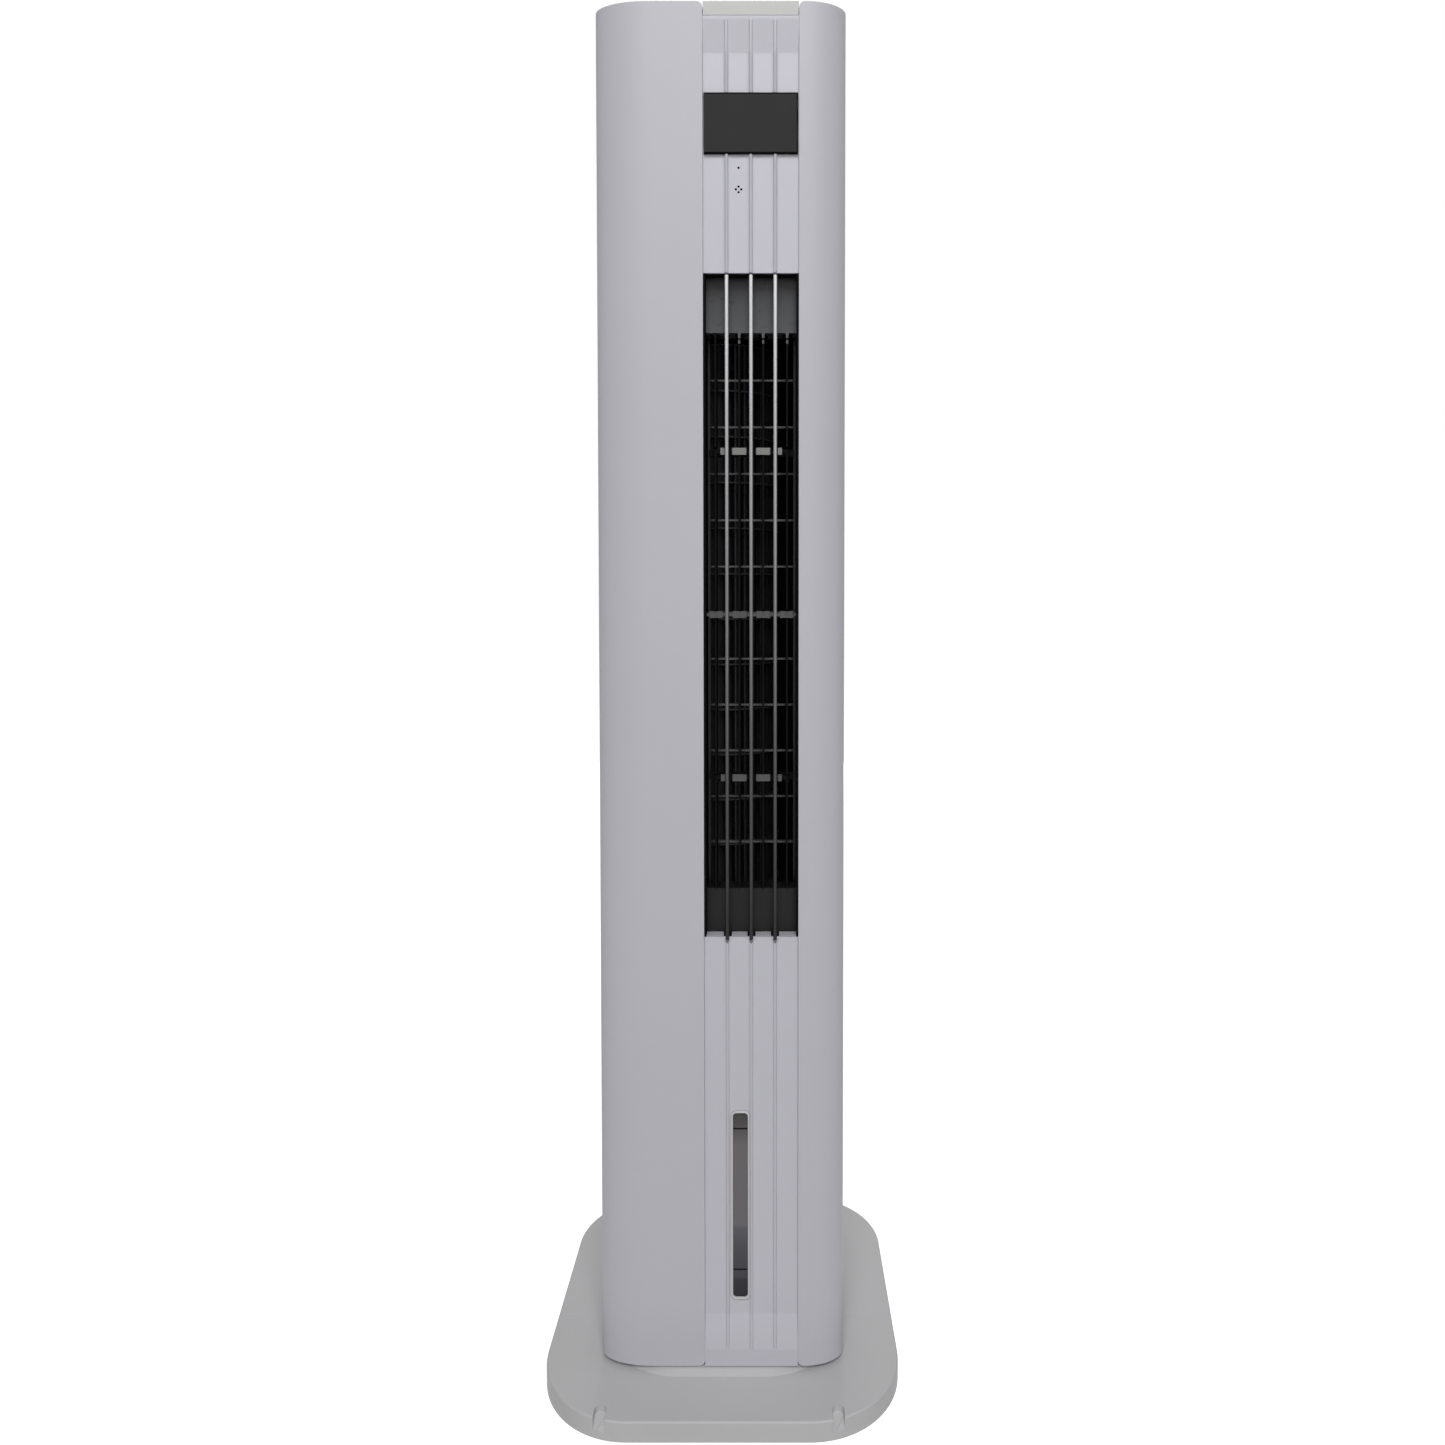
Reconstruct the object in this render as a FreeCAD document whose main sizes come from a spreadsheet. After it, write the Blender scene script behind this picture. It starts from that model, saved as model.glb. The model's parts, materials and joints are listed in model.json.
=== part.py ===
import FreeCAD, Part
import math
import os
import re

import Sketcher
from FreeCAD import Placement
from FreeCAD import Rotation
from FreeCAD import Vector

# Tower fan with a water tank, in millimetres.
# +X is to the right as one faces the outlet, +Y to the back, +Z up.
# The origin is on the floor, under the middle of the base.

SIZES = {
    # Whole object and shared clearances
    "overall_height": 1180,
    "cut_over": 1,
    "fit_gap": 0.2,
    "seam_gap": 0.3,
    "slide_gap": 0.5,
    "run_gap": 0.06,
    # Base: a two-part cover over a steel plate on rubber feet
    "base_width": 310,
    "base_depth": 314,
    "base_corner": 80,
    "base_top": 18,
    "base_rim": 0.6,
    "base_wall": 2.5,
    "base_edge": 1.6,
    "base_split": -35,
    "ramp_margin": 8,
    "ramp_rise": 3,
    "ramp_run": 11,
    "ramp_corner": 42,
    "scoop_x": 93,
    "scoop_inset": 9,
    "scoop_radius": 5,
    "scoop_wall": 2,
    "scoop_floor": 1.5,
    "plate_gap": 1.5,
    "plate_thick": 3,
    "foot_thick": 3,
    "foot_radius": 9,
    "foot_x": 112,
    "foot_y": 118,
    "foot_side_x": 128,
    "cover_screw_x": 104,
    "cover_screw_y": 100,
    "tower_screw_x": 78,
    "tower_screw_y": 68,
    "boss_radius": 5,
    "screw_radius": 2,
    "screw_head_radius": 3.8,
    "screw_head": 1.8,
    "screw_reach": 9,
    # Tower shell
    "tower_width": 212,
    "tower_depth": 204,
    "tower_bottom": 22,
    "corner_left": 30,
    "corner_right": 26,
    "corner_back": 16,
    "wall": 2.5,
    "panel_back": 60,
    "panel_round": 5,
    "lip_width": 2,
    "neck_inset": 16,
    "neck_wall": 3,
    "floor_thick": 3,
    "rail_x": 70,
    "rail_width": 6,
    "rail_height": 5,
    "rail_end": 12,
    # Front strip
    "strip_x": 25.8,
    "strip_width": 80,
    "strip_sink": 3.5,
    "cap_band": 11.5,
    "cap_thick": 3,
    "cap_sink": 1.5,
    "band_top": 17,
    "ramp_top": 21,
    "band_bottom": 14,
    "ramp_bottom": 31,
    "rib_pitch": 20.4,
    "rib_radius": 2.3,
    "rib_height": 3,
    # Outlet
    "vent_drop": 221.8,
    "vent_under_scroll": 14,
    "vent_rim": 1.3,
    "collar_depth": 14,
    "collar_wall": 2.5,
    "bar_width": 3.8,
    "bar_depth": 8,
    "groove_width": 7,
    "groove_depth": 2,
    "groove_point": 3,
    "duct_depth": 27.5,
    "duct_wall": 2.5,
    "shroud_top": 46.2,
    "shroud_bottom": 38.3,
    "shroud_wall": 2.5,
    "shroud_back": 2.5,
    # Louvers
    "louver_set_in": 26,
    "louver_front": 12,
    "louver_rear": 13,
    "louver_thick": 1.6,
    "louver_end_gap": 0.6,
    "pivot_radius": 2,
    "socket_radius": 4,
    "crank_reach": 9,
    "crank_width": 5,
    "crank_thick": 2.5,
    "hub_width": 12,
    "hub_depth": 5,
    "hub_tall": 6,
    "peg_radius": 1.5,
    "peg_head": 1,
    "link_width": 4.4,
    "link_thick": 3,
    "link_low_rise": 97,
    "link_high_drop": 101,
    "comb_rise": 237.6,
    "comb_gap": 9,
    "comb_bar": 3,
    "comb_depth": 8,
    "comb_pin": 1.8,
    "comb_slot": 3,
    # Safety grille behind the louvers
    "guard_depth": 4,
    "guard_stile": 2,
    "guard_rib": 1.6,
    "guard_count": 11,
    "guard_gap": 0.5,
    # Fan wheel and scroll
    "wheel_radius": 49,
    "wheel_inner": 38,
    "wheel_rim": 1.5,
    "wheel_under": 10,
    "wheel_over": 10.4,
    "wheel_parts": 12,
    "wheel_disc": 1.4,
    "blade_count": 36,
    "blade_thick": 1,
    "blade_lead_angle": 8,
    "blade_bow_angle": 1.5,
    "hub_radius": 10,
    "hub_height": 14,
    "shaft_radius": 4,
    "scroll_rise": 106,
    "scroll_plate": 3,
    "scroll_wall": 2.5,
    "scroll_gap": 5,
    "scroll_grow_power": 1.3,
    "scroll_start_angle": 110,
    "scroll_left": 66,
    "scroll_right": 86,
    "scroll_back": 60.5,
    "tongue_x": 35,
    "tongue_y": 42,
    "tongue_tail_x": 62,
    "tongue_tail_y": 38,
    "leg_size": 10,
    "bearing_length": 9,
    "seat_radius": 12,
    "seat_flange": 16,
    "seat_flange_thick": 3,
    # Fan motor
    "motor_radius": 40,
    "motor_length": 52,
    "motor_wall": 3,
    "motor_boss": 12,
    "ring_radius": 20,
    "ring_thick": 8,
    "rotor_radius": 20,
    "core_length": 30,
    "air_gap": 0.6,
    "strap_width": 24,
    "strap_thick": 2.5,
    "strap_x": 50,
    "strap_foot": 10,
    # Swing motor
    "swing_radius": 12,
    "swing_height": 19,
    "swing_shaft": 2.5,
    "swing_offset_x": 5,
    "swing_offset_y": 6.3,
    "swing_neck": 4.5,
    # Display and sensors
    "display_drop": 74,
    "display_height": 50,
    "display_side": 0.6,
    "display_proud": 2.7,
    "display_round": 1.2,
    "display_frame": 4,
    "display_window": 34,
    "board_drop": 3,
    "board_height": 86,
    "board_width": 72,
    "board_thick": 1.6,
    "board_stand": 4,
    "stand_x": 32,
    "stand_radius": 3,
    "digit_width": 40,
    "digit_margin": 13,
    "sensor_x": 15.5,
    "receiver_drop": 10.8,
    "receiver_size": 7,
    "thermo_drop": 28.6,
    "thermo_spread": 2.5,
    "thermo_radius": 2,
    "dot_radius": 0.95,
    # Water-level window
    "window_x": 16.3,
    "window_width": 12.7,
    "window_rise": 50,
    "window_height": 162,
    "window_round": 3,
    "window_sink": 0.4,
    "window_flange": 2,
    "window_flange_thick": 1,
    # Rear frame, grille and filter
    "tank_door_width": 181,
    "tank_door_foot": 5.5,
    "tank_door_gap": 1.5,
    "grille_width": 177,
    "grille_rise": 20.5,
    "grille_drop": 249.5,
    "grille_border": 14,
    "grille_pitch": 12,
    "grille_slot": 7,
    "grille_post": 6,
    "seat_width": 5,
    "seat_depth": 3.5,
    "filter_frame": 4,
    "filter_depth": 3,
    "filter_sheet": 0.8,
    "grip_width": 110,
    "grip_drop": 60,
    "grip_height": 35,
    "grip_depth": 24,
    "grip_wall": 2,
    "gland_x": 30,
    "gland_rise": 8,
    "gland_radius": 6.8,
    "gland_flange": 9,
    "gland_flange_thick": 2,
    "gland_bore": 3.2,
    "gland_reach": 8,
    "case_screw_x": 80,
    "case_screw_drop": 30,
    "case_screw_step": 165,
    "case_boss_gap": 2,
    "case_boss_start": 56,
    "case_boss_web": 4,
    # Drip deck and tank bay
    "deck_rise": 34,
    "deck_thick": 3,
    "deck_front": 10,
    "deck_back": 94,
    "deck_back_corner": 12,
    "bay_wall_x": 92,
    "bay_wall_thick": 2,
    "bay_wall_front": -50,
    "bay_wall_back": 90,
    "trough_x": 88,
    "trough_front": 58,
    "trough_height": 26,
    "trough_wall": 2,
    "spout_x": 35,
    "spout_y": 72,
    "spout_radius": 6,
    "spout_bore": 4,
    "spout_drop": 28,
    # Cooling pad and water tray
    "pad_half": 84,
    "pad_front": 63,
    "pad_back": 91,
    "pad_drop": 32.5,
    "pad_frame_side": 3,
    "pad_frame_lip": 2,
    "pad_frame_foot": 7,
    "pad_frame_rail": 7,
    "pad_frame_head": 5,
    "tray_height": 22,
    "tray_wall": 2,
    "tray_hole": 1.5,
    "tray_hole_pitch": 12,
    "tray_hole_count": 13,
    "tray_bridge": 9,
    # Hose
    "hose_radius": 5,
    "hose_bore": 3.5,
    "hose_bend": 22,
    "hose_x": -74,
    "hose_y": -48,
    "hose_over": 40,
    "hose_end_rise": 12,
    "hose_hole_gap": 1,
    # Coupling between tank and hose
    "nipple_rise": 18,
    "nipple_y": 6,
    "nipple_in": 14,
    "socket_half": 9,
    "socket_front": -20,
    # Water tank
    "tank_half": 86,
    "tank_front": -90,
    "tank_lift": 0.4,
    "tank_height": 236.3,
    "tank_wall": 2.5,
    "tank_front_corner": 36,
    "tank_back_corner": 6,
    "lid_thick": 3,
    "lid_hole_left": 8,
    "lid_hole_right": 66,
    "lid_hole_front": 34,
    "lid_hole_back": 84,
    "pull_width": 72,
    "pull_rise": 6,
    "pull_height": 22,
    "pull_depth": 14,
    "pull_wall": 2,
    "latch_x": 62,
    "latch_drop": 14,
    "latch_spindle": 3,
    "latch_knob": 11,
    "latch_knob_thick": 5,
    "latch_knob_bar": 5,
    "latch_knob_rise": 6,
    "latch_arm": 18,
    "latch_arm_width": 8,
    "latch_arm_thick": 2,
    "latch_arm_set": 0.5,
    # Pump
    "pump_x": -58,
    "pump_y": 50,
    "pump_radius": 24,
    "pump_foot": 3,
    "pump_chamber": 16,
    "chamber_radius": 16,
    "pump_height": 46,
    "pump_hub": 4,
    "pump_blade": 14,
    "pump_blade_thick": 2,
    "pump_blade_tall": 10,
    "pump_spindle": 1.5,
    "pump_spindle_reach": 8,
    "pump_inlet": 7,
    "pump_slot": 3,
    "riser_bore": 3.5,
    "riser_radius": 5,
    "riser_bend": 16,
    "outlet_set": 16,
    # Level float
    "float_x": 64,
    "float_y": -20,
    "float_radius": 12,
    "float_height": 14,
    "float_rise": 25,
    "float_gap": 0.6,
    "post_radius": 4,
    "post_foot": 6,
    "post_foot_thick": 3,
    # Control electronics
    "box_rise": 17,
    "box_height": 40,
    "box_left": 70,
    "box_right": 84,
    "box_front": 50,
    "box_back": 60,
    "box_wall": 2,
    "box_leg": 4,
    "box_leg_in": 9,
    "card_gap": 4,
    "card_lift": 6,
    "card_thick": 1.6,
    "part_size": 24,
    "part_tall": 18,
}

# Places worked out from the sizes; each may use the ones above it.
PLACES = {
    "half_width": "tower_width / 2",
    "front": "-tower_depth / 2",
    "back": "tower_depth / 2",
    "in_half": "half_width - wall",
    "in_back": "back - wall",
    "base_front": "-base_depth / 2",
    "plate_low": "foot_thick",
    "plate_high": "foot_thick + plate_thick",
    "floor_top": "tower_bottom + floor_thick",
    "rail_top": "floor_top + rail_height",
    "strip_left": "strip_x - strip_width / 2",
    "strip_right": "strip_x + strip_width / 2",
    "sunk": "front + strip_sink",
    "fascia_back": "sunk + wall",
    "fascia_left": "strip_left + seam_gap / 2",
    "fascia_right": "strip_right - seam_gap / 2",
    "cap_low": "overall_height - cap_band",
    "crest": "sunk - rib_height",
    "tank_low": "rail_top + tank_lift",
    "tank_floor": "tank_low + tank_wall",
    "tank_top": "tank_low + tank_height",
    "nipple_z": "tank_top + nipple_rise",
    "deck_z": "tank_top + deck_rise",
    "deck_top": "deck_z + deck_thick",
    "tank_door_top": "deck_z - tank_door_gap",
    "pull_low": "tank_top + pull_rise",
    "pull_high": "pull_low + pull_height",
    "latch_z": "deck_z - latch_drop",
    "float_low": "tank_low + float_rise",
    "gland_z": "deck_top + gland_rise",
    "case_screw_low": "gland_z",
    "case_screw_high": "overall_height - case_screw_drop",
    "case_screw_mid": "case_screw_high - case_screw_step",
    "grille_low": "deck_top + grille_rise",
    "grille_high": "overall_height - grille_drop",
    "window_bottom": "tank_low + window_rise",
    "window_top": "window_bottom + window_height",
    "display_top": "overall_height - display_drop",
    "display_bottom": "display_top - display_height",
    "board_top": "display_top - board_drop",
    "board_low": "board_top - board_height",
    "digit_low": "display_bottom + digit_margin",
    "digit_top": "display_top - digit_margin",
    "receiver_z": "display_bottom - receiver_drop",
    "thermo_z": "display_bottom - thermo_drop",
    "grip_high": "overall_height - grip_drop",
    "grip_low": "grip_high - grip_height",
    "scroll_low": "deck_top + scroll_rise",
    "scroll_floor": "scroll_low + scroll_plate",
    "vent_bottom": "scroll_low - vent_under_scroll",
    "vent_top": "overall_height - vent_drop",
    "vent_left": "fascia_left + vent_rim",
    "vent_right": "fascia_right - vent_rim",
    "collar_back": "sunk + collar_depth",
    "duct_back": "collar_back + duct_depth",
    "louver_y": "front + louver_set_in",
    "peg_y": "louver_y - crank_reach",
    "louver_low": "vent_bottom + shroud_bottom",
    "louver_high": "vent_top - shroud_top",
    "link_low": "louver_low + link_low_rise",
    "link_high": "louver_high - link_high_drop",
    "comb_z": "louver_low + comb_rise",
    "wheel_bottom": "scroll_floor + wheel_under",
    "wheel_top": "louver_high - fit_gap * 2",
    "wheel_pitch": "(wheel_top - wheel_bottom) / wheel_parts",
    "scroll_high": "wheel_top + wheel_over",
    "scroll_roof": "scroll_high + scroll_plate",
    "can_low": "scroll_roof + ring_thick",
    "can_high": "can_low + motor_length",
    "strap_z": "can_high + ring_thick",
    "box_low": "strap_z + box_rise",
    "box_high": "box_low + box_height",
    "trough_top": "deck_top + trough_height",
    "pad_low": "trough_top + pad_frame_foot",
    "pad_high": "grille_high - pad_drop",
    "frame_front": "pad_front - pad_frame_lip",
    "frame_back": "pad_back + pad_frame_lip",
    "frame_half": "pad_half + pad_frame_side",
    "frame_top": "pad_high + pad_frame_head",
    "tray_top": "frame_top + tray_height",
    "hose_top": "scroll_high + hose_over",
    "hose_end": "frame_top + hose_end_rise",
    "door_low": "tower_bottom + tank_door_foot",
    "door_half": "tank_door_width / 2 - slide_gap",
    "pump_low": "tank_floor + pump_foot",
    "pump_mid": "pump_low + pump_chamber",
    "pump_top": "tank_floor + pump_height",
    "riser_x": "pump_x - outlet_set",
    "board_y": "fascia_back + board_stand",
}

BUSH_HIGH = "(scroll_floor + seat_flange_thick)"
BUSH_LOW = f"({BUSH_HIGH} - bearing_length)"
TOUCH = 0.001
LAY = {
    "x": Rotation(Vector(0, 0, 1), Vector(1, 0, 0)),
    "y": Rotation(Vector(0, 0, 1), Vector(0, 1, 0)),
    "z": Rotation(),
}
SIDES = {"left": "-", "right": ""}

doc = FreeCAD.newDocument("tower_fan")
pieces = {}


# ---------------------------------------------------------------- sheets and expressions

def cells(text, own=()):
    """An expression on the named sizes and places, written for the two sheets."""
    def full(match):
        word = match.group()
        if word in SIZES:
            return "sizes." + word
        if word in PLACES and word not in own:
            return "places." + word
        return word
    return re.sub(r"[a-z_]\w*", full, str(text))


def make_sheet(name, table):
    """A spreadsheet with one named cell for each entry."""
    sheet = doc.addObject("Spreadsheet::Sheet", name)
    for row, (alias, entry) in enumerate(table.items(), 1):
        sheet.set(f"A{row}", alias)
        sheet.setAlias(f"B{row}", alias)
        sheet.set(f"B{row}", str(entry))
    return sheet


sizes = make_sheet("sizes", SIZES)
places = make_sheet("places", {name: "=" + cells(text, PLACES) for name, text in PLACES.items()})
slate = doc.addObject("Spreadsheet::Sheet", "slate")
doc.recompute()


def value(text):
    """The number that an expression gives, worked out by the sheet."""
    slate.set("A1", "=" + cells(text))
    slate.recompute()
    return float(slate.get("A1"))


def bind(item, path, text):
    """Tie one property to an expression on the sheets."""
    item.setExpression(path, cells(text))


# ---------------------------------------------------------------- solids

def block(name, x, y, z):
    """A box between two places on each axis."""
    solid = doc.addObject("Part::Box", name)
    for side, axis, (low, high) in zip(("Length", "Width", "Height"), "xyz", (x, y, z)):
        bind(solid, side, f"({high}) - ({low})")
        bind(solid, f"Placement.Base.{axis}", low)
    return solid


def rod(name, spot, radius, span, axis="z"):
    """A cylinder along an axis; spot is its place on the other two axes."""
    solid = doc.addObject("Part::Cylinder", name)
    solid.Placement = Placement(Vector(), LAY[axis])
    low, high = span
    bind(solid, "Radius", radius)
    bind(solid, "Height", f"({high}) - ({low})")
    where = dict(zip([other for other in "xyz" if other != axis], spot))
    where[axis] = low
    for other, place in where.items():
        bind(solid, f"Placement.Base.{other}", place)
    return solid


def join(kind, name, parts):
    """A multi-part boolean or a compound of several solids."""
    result = doc.addObject(kind, name)
    if kind == "Part::Compound":
        result.Links = parts
    else:
        result.Shapes = parts
        result.Refine = True
    return result


def fuse(name, *parts):
    """One solid out of several that touch or overlap."""
    return join("Part::MultiFuse", name, list(parts))


def common(name, *parts):
    """What several solids share."""
    return join("Part::MultiCommon", name, list(parts))


def group(name, parts):
    """Separate solids kept together, such as a set of equal screws."""
    return join("Part::Compound", name, list(parts))


def cut(name, base, *tools):
    """The base with the tools taken away."""
    result = doc.addObject("Part::Cut", name)
    result.Base = base
    result.Tool = tools[0] if len(tools) == 1 else group(name + "_tools", tools)
    result.Refine = True
    return result


def shaped(name, shape):
    """A feature whose shape is worked out here from the sheet's sizes."""
    feature = doc.addObject("Part::Feature", name)
    feature.Shape = shape
    return feature


def finish(label, solid):
    """Give a piece its own label and keep it for writing."""
    solid.Label = label
    pieces[label] = solid
    return solid


# ---------------------------------------------------------------- sketched bodies

def origin_plane(body, role):
    """One of the body's own origin planes."""
    return next(item for item in body.Origin.OriginFeatures if item.Role == role)


def padded(name, plane, span, draw):
    """A body: a sketch drawn on a plane, padded between two places on its normal."""
    low, high = span
    body = doc.addObject("PartDesign::Body", name)
    sketch = body.newObject("Sketcher::SketchObject", name + "_sketch")
    sketch.AttachmentSupport = (origin_plane(body, plane + "_Plane"), "")
    sketch.MapMode = "FlatFace"
    bind(sketch, "AttachmentOffset.Base.z", f"-({high})" if plane == "XZ" else low)
    draw(sketch)
    pad = body.newObject("PartDesign::Pad", name + "_pad")
    pad.Profile = sketch
    bind(pad, "Length", f"({high}) - ({low})")
    return body


def hold(sketch, kind, geometry, point, place):
    """Hold one point's distance from the sketch's origin."""
    index = sketch.addConstraint(Sketcher.Constraint(kind, geometry, point, value(place)))
    bind(sketch, f"Constraints[{index}]", place)


def polygon(name, plane, span, points):
    """A padded body with straight sides through named points."""
    def draw(sketch):
        spots = [Vector(value(u), value(v), 0) for u, v in points]
        for first, last in zip(spots, spots[1:] + spots[:1]):
            sketch.addGeometry(Part.LineSegment(first, last))
        for index, (u, v) in enumerate(points):
            following = (index + 1) % len(points)
            sketch.addConstraint(Sketcher.Constraint("Coincident", index, 2, following, 1))
            hold(sketch, "DistanceX", index, 1, u)
            hold(sketch, "DistanceY", index, 1, v)
    return padded(name, plane, span, draw)


def rounded(name, plane, u, v, span, radii):
    """A padded rectangle; radii start at its low corner and go round, None for a sharp one."""
    def draw(sketch):
        (left, right), (low, high) = [[value(end) for end in pair] for pair in (u, v)]
        bend = [value(radius) if radius else 0 for radius in radii]
        corners = [(left, low), (right, low), (right, high), (left, high)]
        ways = [(1, 0), (0, 1), (-1, 0), (0, -1)]
        for index, (way_u, way_v) in enumerate(ways):
            start, end = corners[index], corners[(index + 1) % 4]
            near, far = bend[index], bend[(index + 1) % 4]
            first = Vector(start[0] + way_u * near, start[1] + way_v * near, 0)
            last = Vector(end[0] - way_u * far, end[1] - way_v * far, 0)
            sketch.addGeometry(Part.LineSegment(first, last))
            sketch.addConstraint(Sketcher.Constraint("Vertical" if way_v else "Horizontal", index))
        for index, (corner, radius) in enumerate(zip(corners, bend)):
            before = (index - 1) % 4
            if not radius:
                sketch.addConstraint(Sketcher.Constraint("Coincident", before, 2, index, 1))
                continue
            inward_u = radius if index in (0, 3) else -radius
            inward_v = radius if index in (0, 1) else -radius
            circle = Part.Circle(Vector(corner[0] + inward_u, corner[1] + inward_v, 0), Vector(0, 0, 1), radius)
            begin = math.pi * (1 + index / 2)
            arc = sketch.addGeometry(Part.ArcOfCircle(circle, begin, begin + math.pi / 2))
            sketch.addConstraint(Sketcher.Constraint("Tangent", before, 2, arc, 1))
            sketch.addConstraint(Sketcher.Constraint("Tangent", arc, 2, index, 1))
            held = sketch.addConstraint(Sketcher.Constraint("Radius", arc, radius))
            bind(sketch, f"Constraints[{held}]", radii[index])
        hold(sketch, "DistanceY", 0, 1, v[0])
        hold(sketch, "DistanceX", 1, 1, u[1])
        hold(sketch, "DistanceY", 2, 1, v[1])
        hold(sketch, "DistanceX", 3, 1, u[0])
    return padded(name, plane, span, draw)


def tower_outline(name, inset, span, front_inset="0", back_inset="0"):
    """A column with the tower's plan, taken in by an inset, and more at its front or back."""
    side = f"half_width - ({inset})"
    depth = (f"front + ({inset}) + ({front_inset})", f"back - ({inset}) - ({back_inset})")
    radii = [f"{corner} - ({inset})" for corner in ("corner_left", "corner_right")]
    radii += [f"max(corner_back - ({inset}); wall)"] * 2
    return rounded(name, "XY", (f"-({side})", side), depth, span, radii)


def base_outline(name, inset, span):
    """A column with the base's plan, taken in by an inset."""
    side = f"base_width / 2 - ({inset})"
    depth = f"base_depth / 2 - ({inset})"
    corner = f"base_corner - ({inset})"
    return rounded(name, "XY", (f"-({side})", side), (f"-({depth})", depth), span, [corner] * 4)


def flat_edges(shape, height):
    """Names of the edges that lie level at a height."""
    def level(edge):
        box = edge.BoundBox
        return abs(box.ZMin - height) < TOUCH and abs(box.ZMax - height) < TOUCH
    return [f"Edge{index}" for index, edge in enumerate(shape.Edges, 1) if level(edge)]


def soften(body, name, radius, height):
    """Round a body's level edges at a height."""
    doc.recompute()
    tip = body.Tip
    fillet = body.newObject("PartDesign::Fillet", name)
    fillet.Base = (tip, flat_edges(tip.Shape, value(height)))
    bind(fillet, "Radius", radius)
    return body


def slope(body, name, height, drop, run):
    """Turn the level edges at a height into a slope that drops over a run."""
    doc.recompute()
    tip = body.Tip
    chamfer = body.newObject("PartDesign::Chamfer", name)
    chamfer.Base = (tip, flat_edges(tip.Shape, value(height)))
    chamfer.ChamferType = "Two distances"
    bind(chamfer, "Size", drop)
    bind(chamfer, "Size2", run)
    return body


# ---------------------------------------------------------------- bent tubes

def bent_path(points, bend):
    """Straight runs joined by tangent arcs of one radius."""
    edges = []
    start = points[0]
    for before, corner, after in zip(points, points[1:], points[2:]):
        into = (corner - before).normalize()
        out = (after - corner).normalize()
        turn = into.getAngle(out)
        reach = bend * math.tan(turn / 2)
        first = corner - into * reach
        last = corner + out * reach
        middle = corner + (out - into).normalize() * bend * (1 / math.cos(turn / 2) - 1)
        edges.append(Part.LineSegment(start, first))
        edges.append(Part.Arc(first, middle, last))
        start = last
    edges.append(Part.LineSegment(start, points[-1]))
    return Part.Wire([edge.toShape() for edge in edges])


def bent_tube(name, points, bend, radius, bore):
    """A hollow tube along a bent path."""
    path = bent_path(points, bend)
    way = points[1] - points[0]
    shells = []
    for size in (radius, bore):
        ring = Part.Wire(Part.makeCircle(size, points[0], way))
        shells.append(path.makePipeShell([ring], True, False))
    tube = shells[0].cut(shells[1])
    section = math.pi * (radius ** 2 - bore ** 2)
    print(f"{name}: volume {tube.Volume:.1f}, section times length {section * path.Length:.1f}")
    return shaped(name, tube)


# ---------------------------------------------------------------- base

def notch(name, x, y, radius, span):
    """An upright slot with a round end, open to the front of the base."""
    middle = f"({x})"
    end = rod(name + "_end", (x, y), radius, span)
    reach = (f"{middle} - ({radius})", f"{middle} + ({radius})")
    return fuse(name, end, block(name + "_mouth", reach, ("base_front - cut_over", y), span))


def make_base_cover():
    """The base's moulded cover in two halves, with a raised ramp round the tower's neck."""
    outer = soften(base_outline("cover_outer", "0", ("base_rim", "base_top")), "cover_round", "base_edge", "base_top")
    inner = base_outline("cover_inner", "base_wall", ("base_rim - cut_over", "base_top - base_wall"))
    reach = "half_width + ramp_margin"
    depth = ("front - ramp_margin", "back + ramp_margin")
    ramp_span = ("base_top - base_wall", "base_top + ramp_rise")
    corners = ("corner_left", "corner_right", "corner_back", "corner_back")
    bends = [f"{corner} + ramp_margin + ramp_corner" for corner in corners]
    ramp = rounded("cover_ramp", "XY", (f"-({reach})", reach), depth, ramp_span, bends)
    slope(ramp, "cover_slope", "base_top + ramp_rise", "ramp_rise", "ramp_run")
    neck = tower_outline("cover_neck", "neck_inset - fit_gap", ("0", "tower_bottom"))
    scoop_y = "base_front + scoop_inset"
    bosses = []
    holes = []
    for side, sign in SIDES.items():
        wall = notch(f"scoop_wall_{side}", f"{sign}scoop_x", scoop_y, "scoop_radius + scoop_wall", ("plate_high", "base_top"))
        bosses.append(common(f"scoop_boss_{side}", wall, outer))
        span = ("plate_high + scoop_floor", "base_top + cut_over")
        holes.append(notch(f"scoop_{side}", f"{sign}scoop_x", scoop_y, "scoop_radius", span))
        for end, way in (("front", "-"), ("rear", "")):
            spot = (f"{sign}cover_screw_x", f"{way}cover_screw_y")
            bosses.append(rod(f"cover_boss_{end}_{side}", spot, "boss_radius", ("plate_high", "base_top - base_wall")))
            top = "plate_high + screw_reach - base_wall"
            holes.append(rod(f"cover_pilot_{end}_{side}", spot, "screw_radius + run_gap", ("plate_high - cut_over", top)))
    shell = cut("cover_shell", outer, inner)
    cover = cut("cover_whole", fuse("cover_body", shell, ramp, *bosses), neck, *holes)
    reach = ("-base_width", "base_width")
    height = ("0", "tower_bottom")
    low = block("cover_low_zone", reach, ("-base_depth", "base_split - seam_gap / 2"), height)
    high = block("cover_high_zone", reach, ("base_split + seam_gap / 2", "base_depth"), height)
    finish("base_front", common("base_front_half", cover, low))
    finish("base_rear", common("base_rear_half", cover, high))


def upright_screw(name, x, y):
    """A screw driven up through the base plate."""
    head = rod(name + "_head", (x, y), "screw_head_radius", ("plate_low - screw_head", "plate_low"))
    shank = rod(name + "_shank", (x, y), "screw_radius", ("plate_low", "plate_high + screw_reach - base_wall"))
    return fuse(name, head, shank)


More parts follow.
